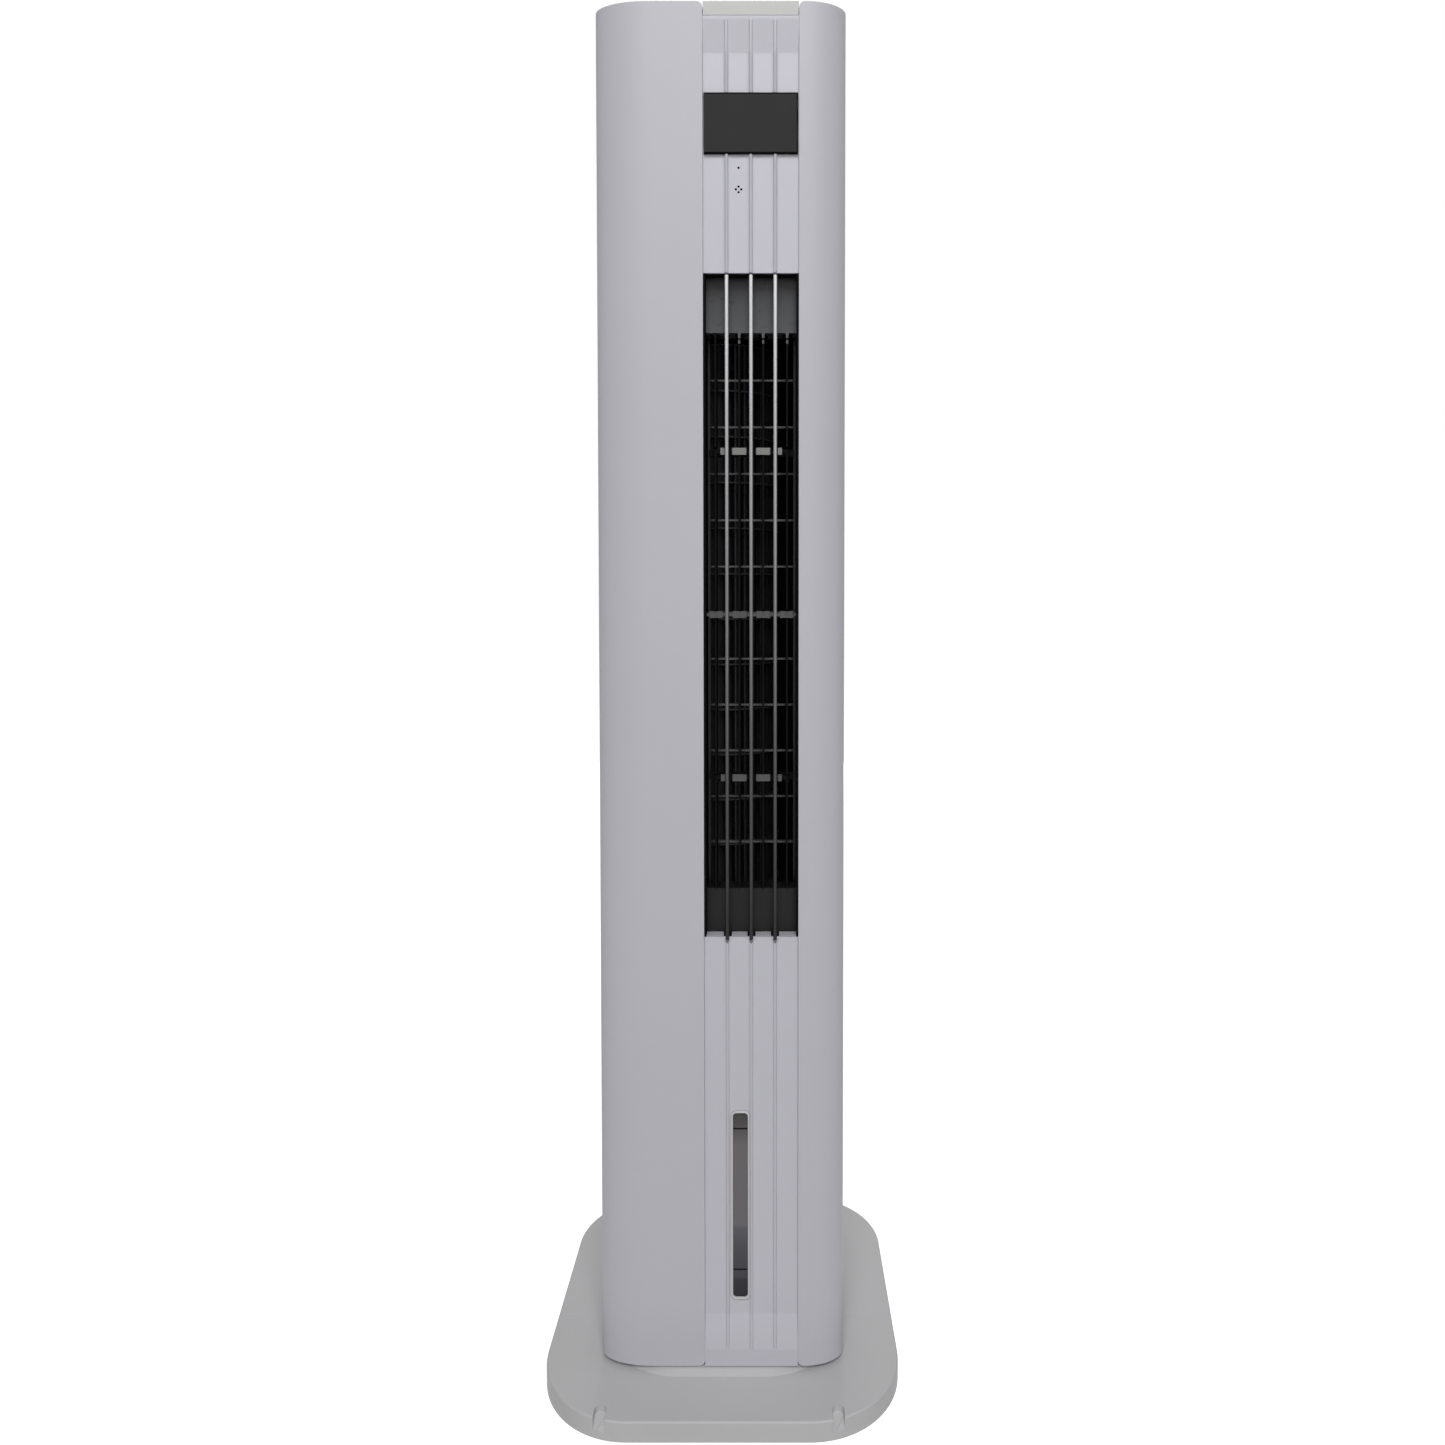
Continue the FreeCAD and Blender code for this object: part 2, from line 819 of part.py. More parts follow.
def make_base_plate():
    """Steel plate under the cover, its feet and the screws that hold cover and tower."""
    plate = base_outline("plate_body", "base_wall + plate_gap", ("plate_low", "plate_high"))
    screws = []
    holes = []
    feet = []
    for side, sign in SIDES.items():
        for end, way in (("front", "-"), ("rear", "")):
            for kind in ("cover", "tower"):
                spot = (f"{sign}{kind}_screw_x", f"{way}{kind}_screw_y")
                screws.append(upright_screw(f"{kind}_screw_{end}_{side}", *spot))
                span = ("0", "plate_high + cut_over")
                holes.append(rod(f"{kind}_hole_{end}_{side}", spot, "screw_radius + run_gap", span))
            feet.append(rod(f"foot_{end}_{side}", (f"{sign}foot_x", f"{way}foot_y"), "foot_radius", ("0", "plate_low")))
        feet.append(rod(f"foot_middle_{side}", (f"{sign}foot_side_x", "0"), "foot_radius", ("0", "plate_low")))
    finish("base_plate", cut("base_plate_solid", plate, *holes))
    finish("base_screws", group("base_screw_set", screws))
    finish("rubber_feet", group("foot_set", feet))


# ---------------------------------------------------------------- casing

def strip_notch(name, span):
    """Room that the floor and the lid leave for the front strip and the panels' lips."""
    side = "(seam_gap / 2 + lip_width + fit_gap)"
    return block(name, (f"strip_left - {side}", f"strip_right + {side}"), ("front", "fascia_back + fit_gap"), span)


def make_bottom_chassis():
    """Floor of the tower with its neck, the tank's rails and the posts for the tower screws."""
    floor_plate = tower_outline("chassis_floor", "wall + fit_gap", ("tower_bottom", "floor_top"))
    floor = cut("chassis_floor_cut", floor_plate, strip_notch("floor_notch", ("tower_bottom", "floor_top + cut_over")))
    neck = tower_outline("neck_outer", "neck_inset", ("plate_high", "floor_top"))
    hollow = tower_outline("neck_inner", "neck_inset + neck_wall", ("plate_high - cut_over", "tower_bottom"))
    parts = [floor, cut("neck_shell", neck, hollow)]
    holes = []
    for side, sign in SIDES.items():
        edges = ("rail_x", "rail_x + rail_width") if side == "right" else ("-rail_x - rail_width", "-rail_x")
        ends = ("front + wall + rail_end", "in_back - rail_end")
        parts.append(block(f"rail_{side}", edges, ends, ("floor_top", "rail_top")))
        for end, way in (("front", "-"), ("rear", "")):
            spot = (f"{sign}tower_screw_x", f"{way}tower_screw_y")
            parts.append(rod(f"tower_post_{end}_{side}", spot, "boss_radius", ("plate_high", "tower_bottom")))
            top = "plate_high + screw_reach - base_wall"
            holes.append(rod(f"tower_pilot_{end}_{side}", spot, "screw_radius + run_gap", ("plate_high - cut_over", top)))
    finish("bottom_chassis", cut("chassis_solid", fuse("chassis_body", *parts), *holes))


def make_shell():
    """The tower's whole skin, from which the panels and the rear frame are taken."""
    outer = tower_outline("tower_outer", "0", ("tower_bottom", "overall_height"))
    span = ("tower_bottom - cut_over", "overall_height + cut_over")
    return cut("tower_skin", outer, tower_outline("tower_inner", "wall", span))


def panel_boss(side, sign, level):
    """An inner post on a side panel that takes a rear screw."""
    name = f"{side}_{level}"
    height = f"case_screw_{level}"
    spot = (f"{sign}case_screw_x", height)
    post = rod(f"case_post_{name}", spot, "boss_radius", ("case_boss_start", "in_back - case_boss_gap"), "y")
    reach = ("case_screw_x", "in_half + wall / 2") if side == "right" else ("-in_half - wall / 2", "-case_screw_x")
    depth = ("case_boss_start", "case_boss_start + case_boss_web")
    web = block(f"case_web_{name}", reach, depth, (f"{height} - boss_radius", f"{height} + boss_radius"))
    span = ("case_boss_start - cut_over", "in_back")
    return [post, web], rod(f"case_pilot_{name}", spot, "screw_radius + run_gap", span, "y")


def make_side_panel(side, skin):
    """One wrap-round panel: front corner, side wall and the lip along the front strip."""
    height = ("tower_bottom", "overall_height")
    lip_span = (f"{height[0]}", f"{height[1]}")
    if side == "left":
        reach = ("-half_width - cut_over", "strip_left - seam_gap / 2")
        radii = [None, "panel_round", "panel_round", None]
        lip = ("strip_left - seam_gap / 2 - lip_width", "strip_left - seam_gap / 2")
    else:
        reach = ("strip_right + seam_gap / 2", "half_width + cut_over")
        radii = ["panel_round", None, None, "panel_round"]
        lip = ("strip_right + seam_gap / 2", "strip_right + seam_gap / 2 + lip_width")
    zone = rounded(f"{side}_zone", "XZ", reach, height, ("front - cut_over", "panel_back"), radii)
    edge = block(f"{side}_lip", lip, ("front", "fascia_back"), lip_span)
    face = common(f"{side}_face", fuse(f"{side}_blank", skin, edge), zone)
    posts = []
    holes = []
    for level in ("high", "mid"):
        post, hole = panel_boss(side, SIDES[side], level)
        posts += post
        holes.append(hole)
    finish(f"{side}_side_panel", cut(f"{side}_panel_solid", fuse(f"{side}_panel_body", face, *posts), *holes))


def make_center_fascia():
    """The front strip: flush bands, ramps, three ribs and the openings of outlet, display and window."""
    top = "cap_low - seam_gap"
    profile = [
        ("fascia_back", "tower_bottom"),
        ("front", "tower_bottom"),
        ("front", "tower_bottom + band_bottom"),
        ("sunk", "tower_bottom + band_bottom + ramp_bottom"),
        ("sunk", "overall_height - band_top - ramp_top"),
        ("front", "overall_height - band_top"),
        ("front", top),
        ("fascia_back", top),
    ]
    plate = polygon("fascia_plate", "YZ", ("fascia_left", "fascia_right"), profile)
    full = ("fascia_left", "fascia_right")
    collar_z = ("vent_bottom - collar_wall", "vent_top + collar_wall")
    parts = [plate, block("vent_collar", full, ("sunk", "collar_back"), collar_z)]
    through = ("front - cut_over", "collar_back + cut_over")
    holes = [block("vent_hole", ("vent_left", "vent_right"), through, ("vent_bottom", "vent_top"))]
    rib_z = ("tower_bottom + band_bottom", "overall_height - band_top")
    for number in (-1, 0, 1):
        x = f"strip_x + {number} * rib_pitch"
        parts.append(rod(f"rib_{number + 2}", (x, "crest + rib_radius"), "rib_radius", rib_z))
        edges = (f"{x} - groove_width / 2", f"{x} + groove_width / 2")
        low = "vent_bottom - groove_depth"
        holes.append(block(f"groove_{number + 2}", edges, through, (low, "vent_bottom + cut_over")))
        point = [(edges[0], low), (x, f"{low} - groove_point"), (edges[1], low)]
        holes.append(polygon(f"groove_tip_{number + 2}", "XZ", ("front - cut_over", "sunk + wall / 2"), point))
    ahead = ("front - cut_over", "sunk")
    holes.append(block("display_bed", full, ahead, ("display_bottom - seam_gap", "display_top + seam_gap")))
    glass_x = ("strip_x - display_window", "strip_x + display_window")
    glass_z = ("display_bottom + display_frame", "display_top - display_frame")
    holes.append(block("display_hole", glass_x, ("front - cut_over", "fascia_back + cut_over"), glass_z))
    holes.append(window_shape("window_hole", "0", ("front - cut_over", "fascia_back + cut_over")))
    drill = ("front - cut_over", "fascia_back + cut_over")
    holes.append(rod("receiver_dot", ("sensor_x", "receiver_z"), "dot_radius", drill, "y"))
    for number, (way_x, way_z) in enumerate(((1, 0), (-1, 0), (0, 1), (0, -1)), 1):
        spot = (f"sensor_x + {way_x} * thermo_spread", f"thermo_z + {way_z} * thermo_spread")
        holes.append(rod(f"thermo_dot_{number}", spot, "dot_radius", drill, "y"))
    for way in "-+":
        for edge in ("board_low + stand_radius", "board_top - stand_radius"):
            name = f"stand_{'left' if way == '-' else 'right'}_{edge.split()[0]}"
            spot = (f"strip_x {way} stand_x", edge)
            parts.append(rod(name, spot, "stand_radius", ("fascia_back - wall / 2", "board_y"), "y"))
    finish("center_fascia", cut("fascia_solid", fuse("fascia_body", *parts), *holes))


def window_shape(name, grow, span):
    """The water-level window's outline, grown by a margin."""
    half = f"(window_width / 2 + ({grow}))"
    reach = (f"window_x - {half}", f"window_x + {half}")
    height = (f"window_bottom - ({grow})", f"window_top + ({grow})")
    return rounded(name, "XZ", reach, height, span, [f"window_round + ({grow})"] * 4)


def make_window_lens():
    """Clear lens held from behind by a flange."""
    front_face = window_shape("lens_front", "-run_gap", ("sunk + window_sink", "fascia_back"))
    flange = window_shape("lens_flange", "window_flange", ("fascia_back", "fascia_back + window_flange_thick"))
    finish("window_lens", fuse("window_lens_solid", front_face, flange))


def make_top_cover():
    """Lid let in between the panels, with its front band above the strip."""
    span = ("overall_height - cap_sink - cap_thick", "overall_height - cap_sink")
    full_plate = tower_outline("cap_plate", "wall + fit_gap", span)
    plate = cut("cap_plate_cut", full_plate, strip_notch("cap_notch", (span[0], "overall_height")))
    reach = ("fascia_left", "fascia_right")
    bridge = block("cap_bridge", reach, ("front", "front + 4 * wall"), span)
    band = block("cap_front", reach, ("front", "front + wall"), ("cap_low", "overall_height"))
    finish("top_cover", fuse("top_cover_solid", plate, bridge, band))


def ring_block(name, half, low, high, depth, width):
    """A flat upright frame of a given width, round the middle of the tower."""
    outer = block(name + "_outer", (f"-({half})", half), depth, (low, high))
    inside = f"{half} - ({width})"
    through = (f"{depth[0]} - cut_over", f"{depth[1]} + cut_over")
    inner = block(name + "_inner", (f"-({inside})", inside), through, (f"{low} + ({width})", f"{high} - ({width})"))
    return cut(name, outer, inner)


def make_rear_frame(skin):
    """Back of the casing, with the openings of tank and grille, the grip and the cord inlet."""
    across = ("-half_width - cut_over", "half_width + cut_over")
    zone = block("rear_zone", across, ("panel_back + seam_gap", "back + cut_over"), ("tower_bottom", "overall_height"))
    rear = common("rear_skin", skin, zone)
    seat_half = "grille_width / 2 + seat_width"
    seat_z = ("grille_low - seat_width", "grille_high + seat_width")
    seat = ring_block("grille_seat", seat_half, *seat_z, ("in_back - seat_depth", "in_back"), "2 * seat_width")
    through = ("in_back - cut_over", "back + cut_over")
    door = "tank_door_width / 2"
    wide = "grille_width / 2"
    cup, hollow = carry_grip()
    holes = [
        hollow,
        block("tank_opening", (f"-{door}", door), through, ("door_low - slide_gap", "tank_door_top")),
        block("grille_opening", (f"-{wide}", wide), ("in_back", "back + cut_over"), ("grille_low", "grille_high")),
        rod("gland_opening", ("gland_x", "gland_z"), "gland_radius + run_gap", through, "y"),
    ]
    for side, sign in SIDES.items():
        for level in ("high", "mid", "low"):
            spot = (f"{sign}case_screw_x", f"case_screw_{level}")
            holes.append(rod(f"case_hole_{side}_{level}", spot, "screw_radius + run_gap", through, "y"))
    finish("rear_frame", cut("rear_frame_solid", fuse("rear_frame_body", rear, seat, cup), *holes))


def make_case_screws():
    """The six screws that hold the rear frame."""
    screws = []
    for side, sign in SIDES.items():
        for level in ("high", "mid", "low"):
            name = f"case_screw_{side}_{level}"
            spot = (f"{sign}case_screw_x", f"case_screw_{level}")
            head = rod(name + "_head", spot, "screw_head_radius", ("back", "back + screw_head"), "y")
            shank = rod(name + "_shank", spot, "screw_radius", ("back - screw_reach", "back"), "y")
            screws.append(fuse(name, head, shank))
    finish("case_screws", group("case_screw_set", screws))


def carry_grip():
    """Cup behind the hand opening in the back, and its hollow."""
    half = "grip_width / 2"
    outer_x = (f"-{half} - grip_wall", f"{half} + grip_wall")
    outer_z = ("grip_low - grip_wall", "grip_high + grip_wall")
    outer = block("grip_outer", outer_x, ("in_back - grip_depth", "in_back"), outer_z)
    depth = ("in_back - grip_depth + grip_wall", "back + cut_over")
    inner = block("grip_inner", (f"-{half}", half), depth, ("grip_low", "grip_high"))
    return outer, inner


def make_cord_gland():
    """Bush through the back where the supply cord enters."""
    spot = ("gland_x", "gland_z")
    flange = rod("gland_rim", spot, "gland_flange", ("back", "back + gland_flange_thick"), "y")
    body = rod("gland_body", spot, "gland_radius", ("back - gland_reach", "back"), "y")
    bore = rod("gland_hole", spot, "gland_bore", ("back - gland_reach - cut_over", "back + 2 * gland_flange_thick"), "y")
    finish("cord_gland", cut("cord_gland_solid", fuse("gland_blank", flange, body), bore))


# ---------------------------------------------------------------- rear grille and filter

def make_rear_grille():
    """Lift-off air inlet with three columns of slots."""
    half = "grille_width / 2 - slide_gap"
    span = ("in_back", "back")
    height = ("grille_low + slide_gap", "grille_high - slide_gap")
    plate = block("grille_plate", (f"-({half})", half), span, height)
    inside = f"({half} - grille_border)"
    column = f"(2 * {inside} - 2 * grille_post) / 3"
    rows = int((value("grille_high - grille_low") - 2 * value("grille_border")) / value("grille_pitch"))
    first = f"((grille_low + grille_high) / 2 - {rows - 1} / 2 * grille_pitch - grille_slot / 2)"
    slots = []
    for row in range(rows):
        low = f"{first} + {row} * grille_pitch"
        for place in range(3):
            left = f"-{inside} + {place} * ({column} + grille_post)"
            reach = (left, f"{left} + {column}")
            depth = ("in_back - cut_over", "back + cut_over")
            slots.append(block(f"slot_{row}_{place}", reach, depth, (low, f"{low} + grille_slot")))
    finish("rear_grille", cut("rear_grille_solid", plate, *slots))


def make_dust_filter():
    """Framed filter sheet clipped into the back of the grille."""
    half = "grille_width / 2 - seat_width - slide_gap"
    low = "grille_low + seat_width + slide_gap"
    high = "grille_high - seat_width - slide_gap"
    depth = ("in_back - filter_depth", "in_back")
    frame = ring_block("filter_ring", half, low, high, depth, "filter_frame")
    sheet_y = ("in_back - filter_depth", "in_back - filter_depth + filter_sheet")
    sheet = block("filter_sheet_block", (f"-({half})", half), sheet_y, (low, high))
    finish("dust_filter", fuse("dust_filter_solid", frame, sheet))


# ---------------------------------------------------------------- outlet

def make_outlet_bars():
    """The three upright bars that carry the ribs across the outlet."""
    for number, side in ((-1, "left"), (0, "center"), (1, "right")):
        x = f"(strip_x + {number} * rib_pitch)"
        height = ("vent_bottom - groove_depth", "vent_top")
        nose = rod(f"bar_nose_{side}", (x, "crest + bar_width / 2"), "bar_width / 2", height)
        reach = (f"{x} - bar_width / 2", f"{x} + bar_width / 2")
        fin = block(f"bar_fin_{side}", reach, ("crest + bar_width / 2", "crest + bar_depth"), height)
        finish(f"outlet_bar_{side}", fuse(f"bar_solid_{side}", nose, fin))


def make_outlet_duct():
    """Dark tube that joins the casing's collar to the scroll."""
    outer_x = ("vent_left - duct_wall", "vent_right + duct_wall")
    outer_z = ("vent_bottom - duct_wall", "vent_top + duct_wall")
    outer = block("duct_outer", outer_x, ("collar_back", "duct_back"), outer_z)
    through = ("collar_back - cut_over", "duct_back + cut_over")
    inner = block("duct_inner", ("vent_left", "vent_right"), through, ("vent_bottom", "vent_top"))
    finish("outlet_duct", cut("outlet_duct_solid", outer, inner))


def louver_x(number):
    """Place of a louver's axis, numbered 1 to 4 from the left."""
    return f"(strip_x + {number - 2.5} * rib_pitch)"


def make_duct_covers():
    """Upper and lower shrouds that close the outlet's ends and hold the louver pivots."""
    reach = ("vent_left", "vent_right")
    depth = ("collar_back", "duct_back - guard_depth - shroud_back")
    face = ("collar_back", "collar_back + shroud_wall")
    ends = {
        "upper": ("louver_high", "louver_high + shroud_wall", "vent_top", "socket_radius"),
        "lower": ("louver_low", "louver_low - shroud_wall", "vent_bottom", "pivot_radius"),
    }
    for name, (near, far, edge, pivot) in ends.items():
        low, high = (near, far) if name == "upper" else (far, near)
        shelf = block(f"{name}_shelf", reach, depth, (low, high))
        skirt_z = (far, edge) if name == "upper" else (edge, far)
        skirt = block(f"{name}_skirt", reach, face, skirt_z)
        drill = (f"{low} - cut_over", f"{high} + cut_over")
        holes = []
        for number in range(1, 5):
            hole = f"{name}_seat_{number}"
            holes.append(rod(hole, (louver_x(number), "louver_y"), f"{pivot} + run_gap", drill))
        finish(f"{name}_duct_cover", cut(f"{name}_cover_solid", fuse(f"{name}_cover_body", shelf, skirt), *holes))


def crank(name, x, level):
    """Hub, arm and peg on a louver for one of the link bars."""
    hub_x = (f"{x} - hub_width / 2", f"{x} + hub_width / 2")
    hub_y = ("louver_y - hub_depth / 2", "louver_y + hub_depth / 2")
    hub = block(name + "_hub", hub_x, hub_y, (f"{level} - hub_tall / 2", f"{level} + hub_tall / 2"))
    under = f"{level} - link_thick / 2 - run_gap"
    arm_x = (f"{x} - crank_width / 2", f"{x} + crank_width / 2")
    arm = block(name + "_arm", arm_x, ("peg_y", "louver_y"), (f"{under} - crank_thick", under))
    tip = rod(name + "_tip", (x, "peg_y"), "crank_width / 2", (f"{under} - crank_thick", under))
    top = f"{level} + link_thick / 2 + peg_head"
    peg = rod(name + "_peg", (x, "peg_y"), "peg_radius", (under, top))
    clear_y = ("louver_y - louver_front - cut_over", "louver_y - hub_depth / 2")
    clear_z = (f"{level} - link_thick / 2 - run_gap", f"{top} + peg_head")
    clear = block(name + "_clear", hub_x, clear_y, clear_z)
    return [hub, arm, tip], peg, clear


def make_louver(number):
    """An upright blade on pivots, with cranks for the link bars and a neck in the comb."""
    x = louver_x(number)
    name = f"louver_{number}"
    height = ("louver_low + louver_end_gap", "louver_high - louver_end_gap")
    thick = (f"{x} - louver_thick / 2", f"{x} + louver_thick / 2")
    depth = ("louver_y - louver_front", "louver_y + louver_rear")
    parts = [block(name + "_blade", thick, depth, height)]
    pegs = []
    gap = ("comb_z - comb_gap / 2", "comb_z + comb_gap / 2")
    wide = (f"{x} - hub_width", f"{x} + hub_width")
    clears = [block(name + "_neck_gap", wide, ("louver_y - louver_front - cut_over", "duct_back"), gap)]
    for level in ("link_low", "link_high"):
        crank_parts, peg, clear = crank(f"{name}_{level}", x, level)
        parts += crank_parts
        pegs.append(peg)
        clears.append(clear)
    body = cut(name + "_body", fuse(name + "_blank", *parts), *clears)
    spot = (x, "louver_y")
    reach = f"{gap[0]} - louver_end_gap"
    neck = rod(name + "_neck", spot, "comb_pin", (reach, f"{gap[1]} + louver_end_gap"))
    low = rod(name + "_low_pivot", spot, "pivot_radius", ("louver_low - shroud_wall", "louver_low + shroud_wall"))
    top = ("louver_high - shroud_wall", "louver_high + shroud_wall")
    high = rod(name + "_high_pivot", spot, "socket_radius", top)
    solid = fuse(name + "_solid", body, neck, low, high, *pegs)
    if number == 1:
        stem_z = ("louver_high", "louver_high + shroud_wall + swing_neck")
        solid = fuse("louver_1_driven", solid, rod("louver_stem", spot, "swing_shaft", stem_z))
    finish(name, solid)


def make_link_bar(name, level):
    """Bar that ties the four cranks together."""
    first = louver_x(1)
    last = louver_x(4)
    height = (f"{level} - link_thick / 2", f"{level} + link_thick / 2")
    across = ("peg_y - link_width / 2", "peg_y + link_width / 2")
    parts = [block(f"{name}_bar", (first, last), across, height)]
    holes = []
    for number in range(1, 5):
        spot = (louver_x(number), "peg_y")
        if number in (1, 4):
            parts.append(rod(f"{name}_end_{number}", spot, "link_width / 2", height))
        drill = (f"{height[0]} - cut_over", f"{height[1]} + cut_over")
        holes.append(rod(f"{name}_eye_{number}", spot, "peg_radius + run_gap", drill))
    finish(name, cut(f"{name}_solid", fuse(f"{name}_body", *parts), *holes))


def make_louver_comb():
    """Fixed bar across the outlet whose clips steady the louvers at mid height."""
    depth = ("louver_y - comb_depth / 2", "louver_y + comb_depth / 2")
    bar_z = ("comb_z - comb_bar / 2", "comb_z + comb_bar / 2")
    clip_z = ("comb_z - hub_tall / 2", "comb_z + hub_tall / 2")
    parts = [block("comb_rail", ("vent_left", "vent_right"), depth, bar_z)]
    holes = []
    for number in range(1, 5):
        x = louver_x(number)
        reach = (f"{x} - hub_width / 2", f"{x} + hub_width / 2")
        parts.append(block(f"comb_clip_{number}", reach, depth, clip_z))
        drill = ("comb_z - hub_tall", "comb_z + hub_tall")
        holes.append(rod(f"comb_bore_{number}", (x, "louver_y"), "comb_pin + run_gap", drill))
        mouth = (f"{x} - comb_slot / 2", f"{x} + comb_slot / 2")
        holes.append(block(f"comb_mouth_{number}", mouth, ("louver_y - comb_depth", "louver_y"), drill))
    finish("louver_comb", cut("louver_comb_solid", fuse("louver_comb_body", *parts), *holes))


def make_safety_grille():
    """Flat cross ribs between two stiles, between the louvers and the fan wheel."""
    depth = ("duct_back - guard_depth - guard_gap", "duct_back - guard_gap")
    height = ("louver_low", "louver_high")
    parts = [
        block("stile_left", ("vent_left", "vent_left + guard_stile"), depth, height),
        block("stile_right", ("vent_right - guard_stile", "vent_right"), depth, height),
    ]
    middle = "(louver_low + louver_high) / 2"
    for number in range(value_count("guard_count")):
        z = f"{middle} + ({number} - (guard_count - 1) / 2) * wheel_pitch"
        rib_z = (f"{z} - guard_rib / 2", f"{z} + guard_rib / 2")
        parts.append(block(f"guard_rib_{number + 1}", ("vent_left", "vent_right"), depth, rib_z))
    finish("safety_grille", fuse("safety_grille_solid", *parts))


def value_count(name):
    """A size that counts copies, as a whole number."""
    return int(round(value(name)))


def make_swing_motor():
    """Small gear motor on the upper shroud, bored for the first louver's stem."""
    spot = (louver_x(1), "louver_y")
    body_spot = (f"{louver_x(1)} + swing_offset_x", "louver_y + swing_offset_y")
    base = "louver_high + shroud_wall"
    can = rod("swing_can", body_spot, "swing_radius", (f"{base} + fit_gap", f"{base} + swing_height"))
    top = f"{base} + swing_neck"
    bore = rod("swing_bore", spot, "swing_shaft + run_gap", (f"{base} - cut_over", f"{top} + run_gap"))
    finish("swing_motor", cut("swing_motor_solid", can, bore))


# ---------------------------------------------------------------- fan wheel

def blade_face(level):
    """Section of one forward-curved blade, between the wheel's two radii."""
    inner = value("wheel_inner")
    outer = value("wheel_radius")
    lead = math.radians(value("blade_lead_angle"))
    bow = math.radians(value("blade_bow_angle"))

    def spot(radius, angle):
        return Vector(radius * math.cos(angle), radius * math.sin(angle), level)

    def side(turn):
        middle = (inner + outer) / 2
        return [spot(inner, turn), spot(middle, turn - bow), spot(outer, turn - lead)]

    near = side(0)
    far = side(value("blade_thick") / inner)
    edges = [
        Part.Arc(*near).toShape(),
        Part.LineSegment(near[2], far[2]).toShape(),
        Part.Arc(*reversed(far)).toShape(),
        Part.LineSegment(far[0], near[0]).toShape(),
    ]
    return Part.Face(Part.Wire(edges))


def make_impeller():
    """The long fan wheel: equal blades through thirteen discs, with a hub at each end."""
    bottom = value("wheel_bottom")
    top = value("wheel_top")
    disc = value("wheel_disc")
    count = value_count("blade_count")
    parts = value_count("wheel_parts")
    rim = value("wheel_radius + wheel_rim")
    up = Vector(0, 0, 1)
    solids = []
    face = blade_face(bottom)
    for number in range(count):
        blade = face.extrude(Vector(0, 0, top - bottom))
        blade.rotate(Vector(), up, 360 * number / count)
        solids.append(blade)
    for number in range(parts + 1):
        level = bottom + number * (top - bottom - disc) / parts
        plate = Part.makeCylinder(rim, disc, Vector(0, 0, level))
        if 0 < number < parts:
            hole = Part.makeCylinder(value("wheel_inner - wheel_rim"), disc, Vector(0, 0, level))
            plate = plate.cut(hole)
        solids.append(plate)
    hub = value("hub_radius")
    height = value("hub_height")
    solids.append(Part.makeCylinder(hub, height, Vector(0, 0, bottom)))
    solids.append(Part.makeCylinder(hub, height, Vector(0, 0, top - height)))
    shaft = value("shaft_radius")
    stub = value(BUSH_LOW)
    solids.append(Part.makeCylinder(shaft, bottom - stub + height, Vector(0, 0, stub)))
    wheel = solids[0].multiFuse(solids[1:])
    wheel = wheel.cut(Part.makeCylinder(shaft, height, Vector(0, 0, top - height)))
    finish("impeller", shaped("impeller_wheel", wheel))


def make_lower_bearing():
    """Flanged bush in the scroll's floor for the wheel's stub shaft."""
    middle = ("0", "0")
    body = rod("bush_body", middle, "seat_radius", (BUSH_LOW, BUSH_HIGH))
    flange = rod("bush_rim", middle, "seat_flange", ("scroll_floor", BUSH_HIGH))
    bore = rod("bush_bore", middle, "shaft_radius + run_gap", (f"{BUSH_LOW} - cut_over", f"{BUSH_HIGH} + cut_over"))
    finish("lower_bearing", cut("lower_bearing_solid", fuse("bush_blank", body, flange), bore))


# ---------------------------------------------------------------- scroll

def scroll_tongue():
    """The stabiliser at the outlet's left, close to the wheel."""
    points = [
        ("vent_left", "duct_back"),
        ("-tongue_x", "-tongue_y"),
        ("-tongue_tail_x", "-tongue_tail_y"),
        ("-tongue_tail_x", "-tongue_tail_y - scroll_wall"),
        ("-tongue_x - scroll_wall / 2", "-tongue_y - scroll_wall"),
        ("vent_left - duct_wall", "duct_back"),
    ]
    return polygon("tongue_body", "XY", ("scroll_floor", "scroll_high"), points)


def make_scroll_plates():
    """Floor of the scroll with its legs and tongue, and the roof under the motor."""
    reach = ("-scroll_left", "scroll_right")
    depth = ("duct_back", "scroll_back")
    floor = block("scroll_floor_plate", reach, depth, ("scroll_low", "scroll_floor"))
    legs = []
    for side, edges in (("left", ("-scroll_left", "-scroll_left + leg_size")),
                        ("right", ("scroll_right - leg_size", "scroll_right"))):
        for end, rows in (("front", ("duct_back", "duct_back + leg_size")),
                          ("rear", ("trough_front - seam_gap - leg_size", "trough_front - seam_gap"))):
            legs.append(block(f"leg_{end}_{side}", edges, rows, ("deck_top", "scroll_low")))
    hole = rod("seat_hole", ("0", "0"), "seat_radius", ("scroll_low - cut_over", "scroll_floor + cut_over"))
    body = fuse("scroll_base_body", floor, scroll_tongue(), *legs)
    finish("scroll_base", cut("scroll_base_solid", body, hole))
    roof = block("scroll_roof_plate", reach, depth, ("scroll_high", "scroll_roof"))
    opening = rod("roof_hole", ("0", "0"), "motor_boss", ("scroll_high - cut_over", "scroll_roof + cut_over"))
    finish("scroll_top", cut("scroll_top_solid", roof, opening))


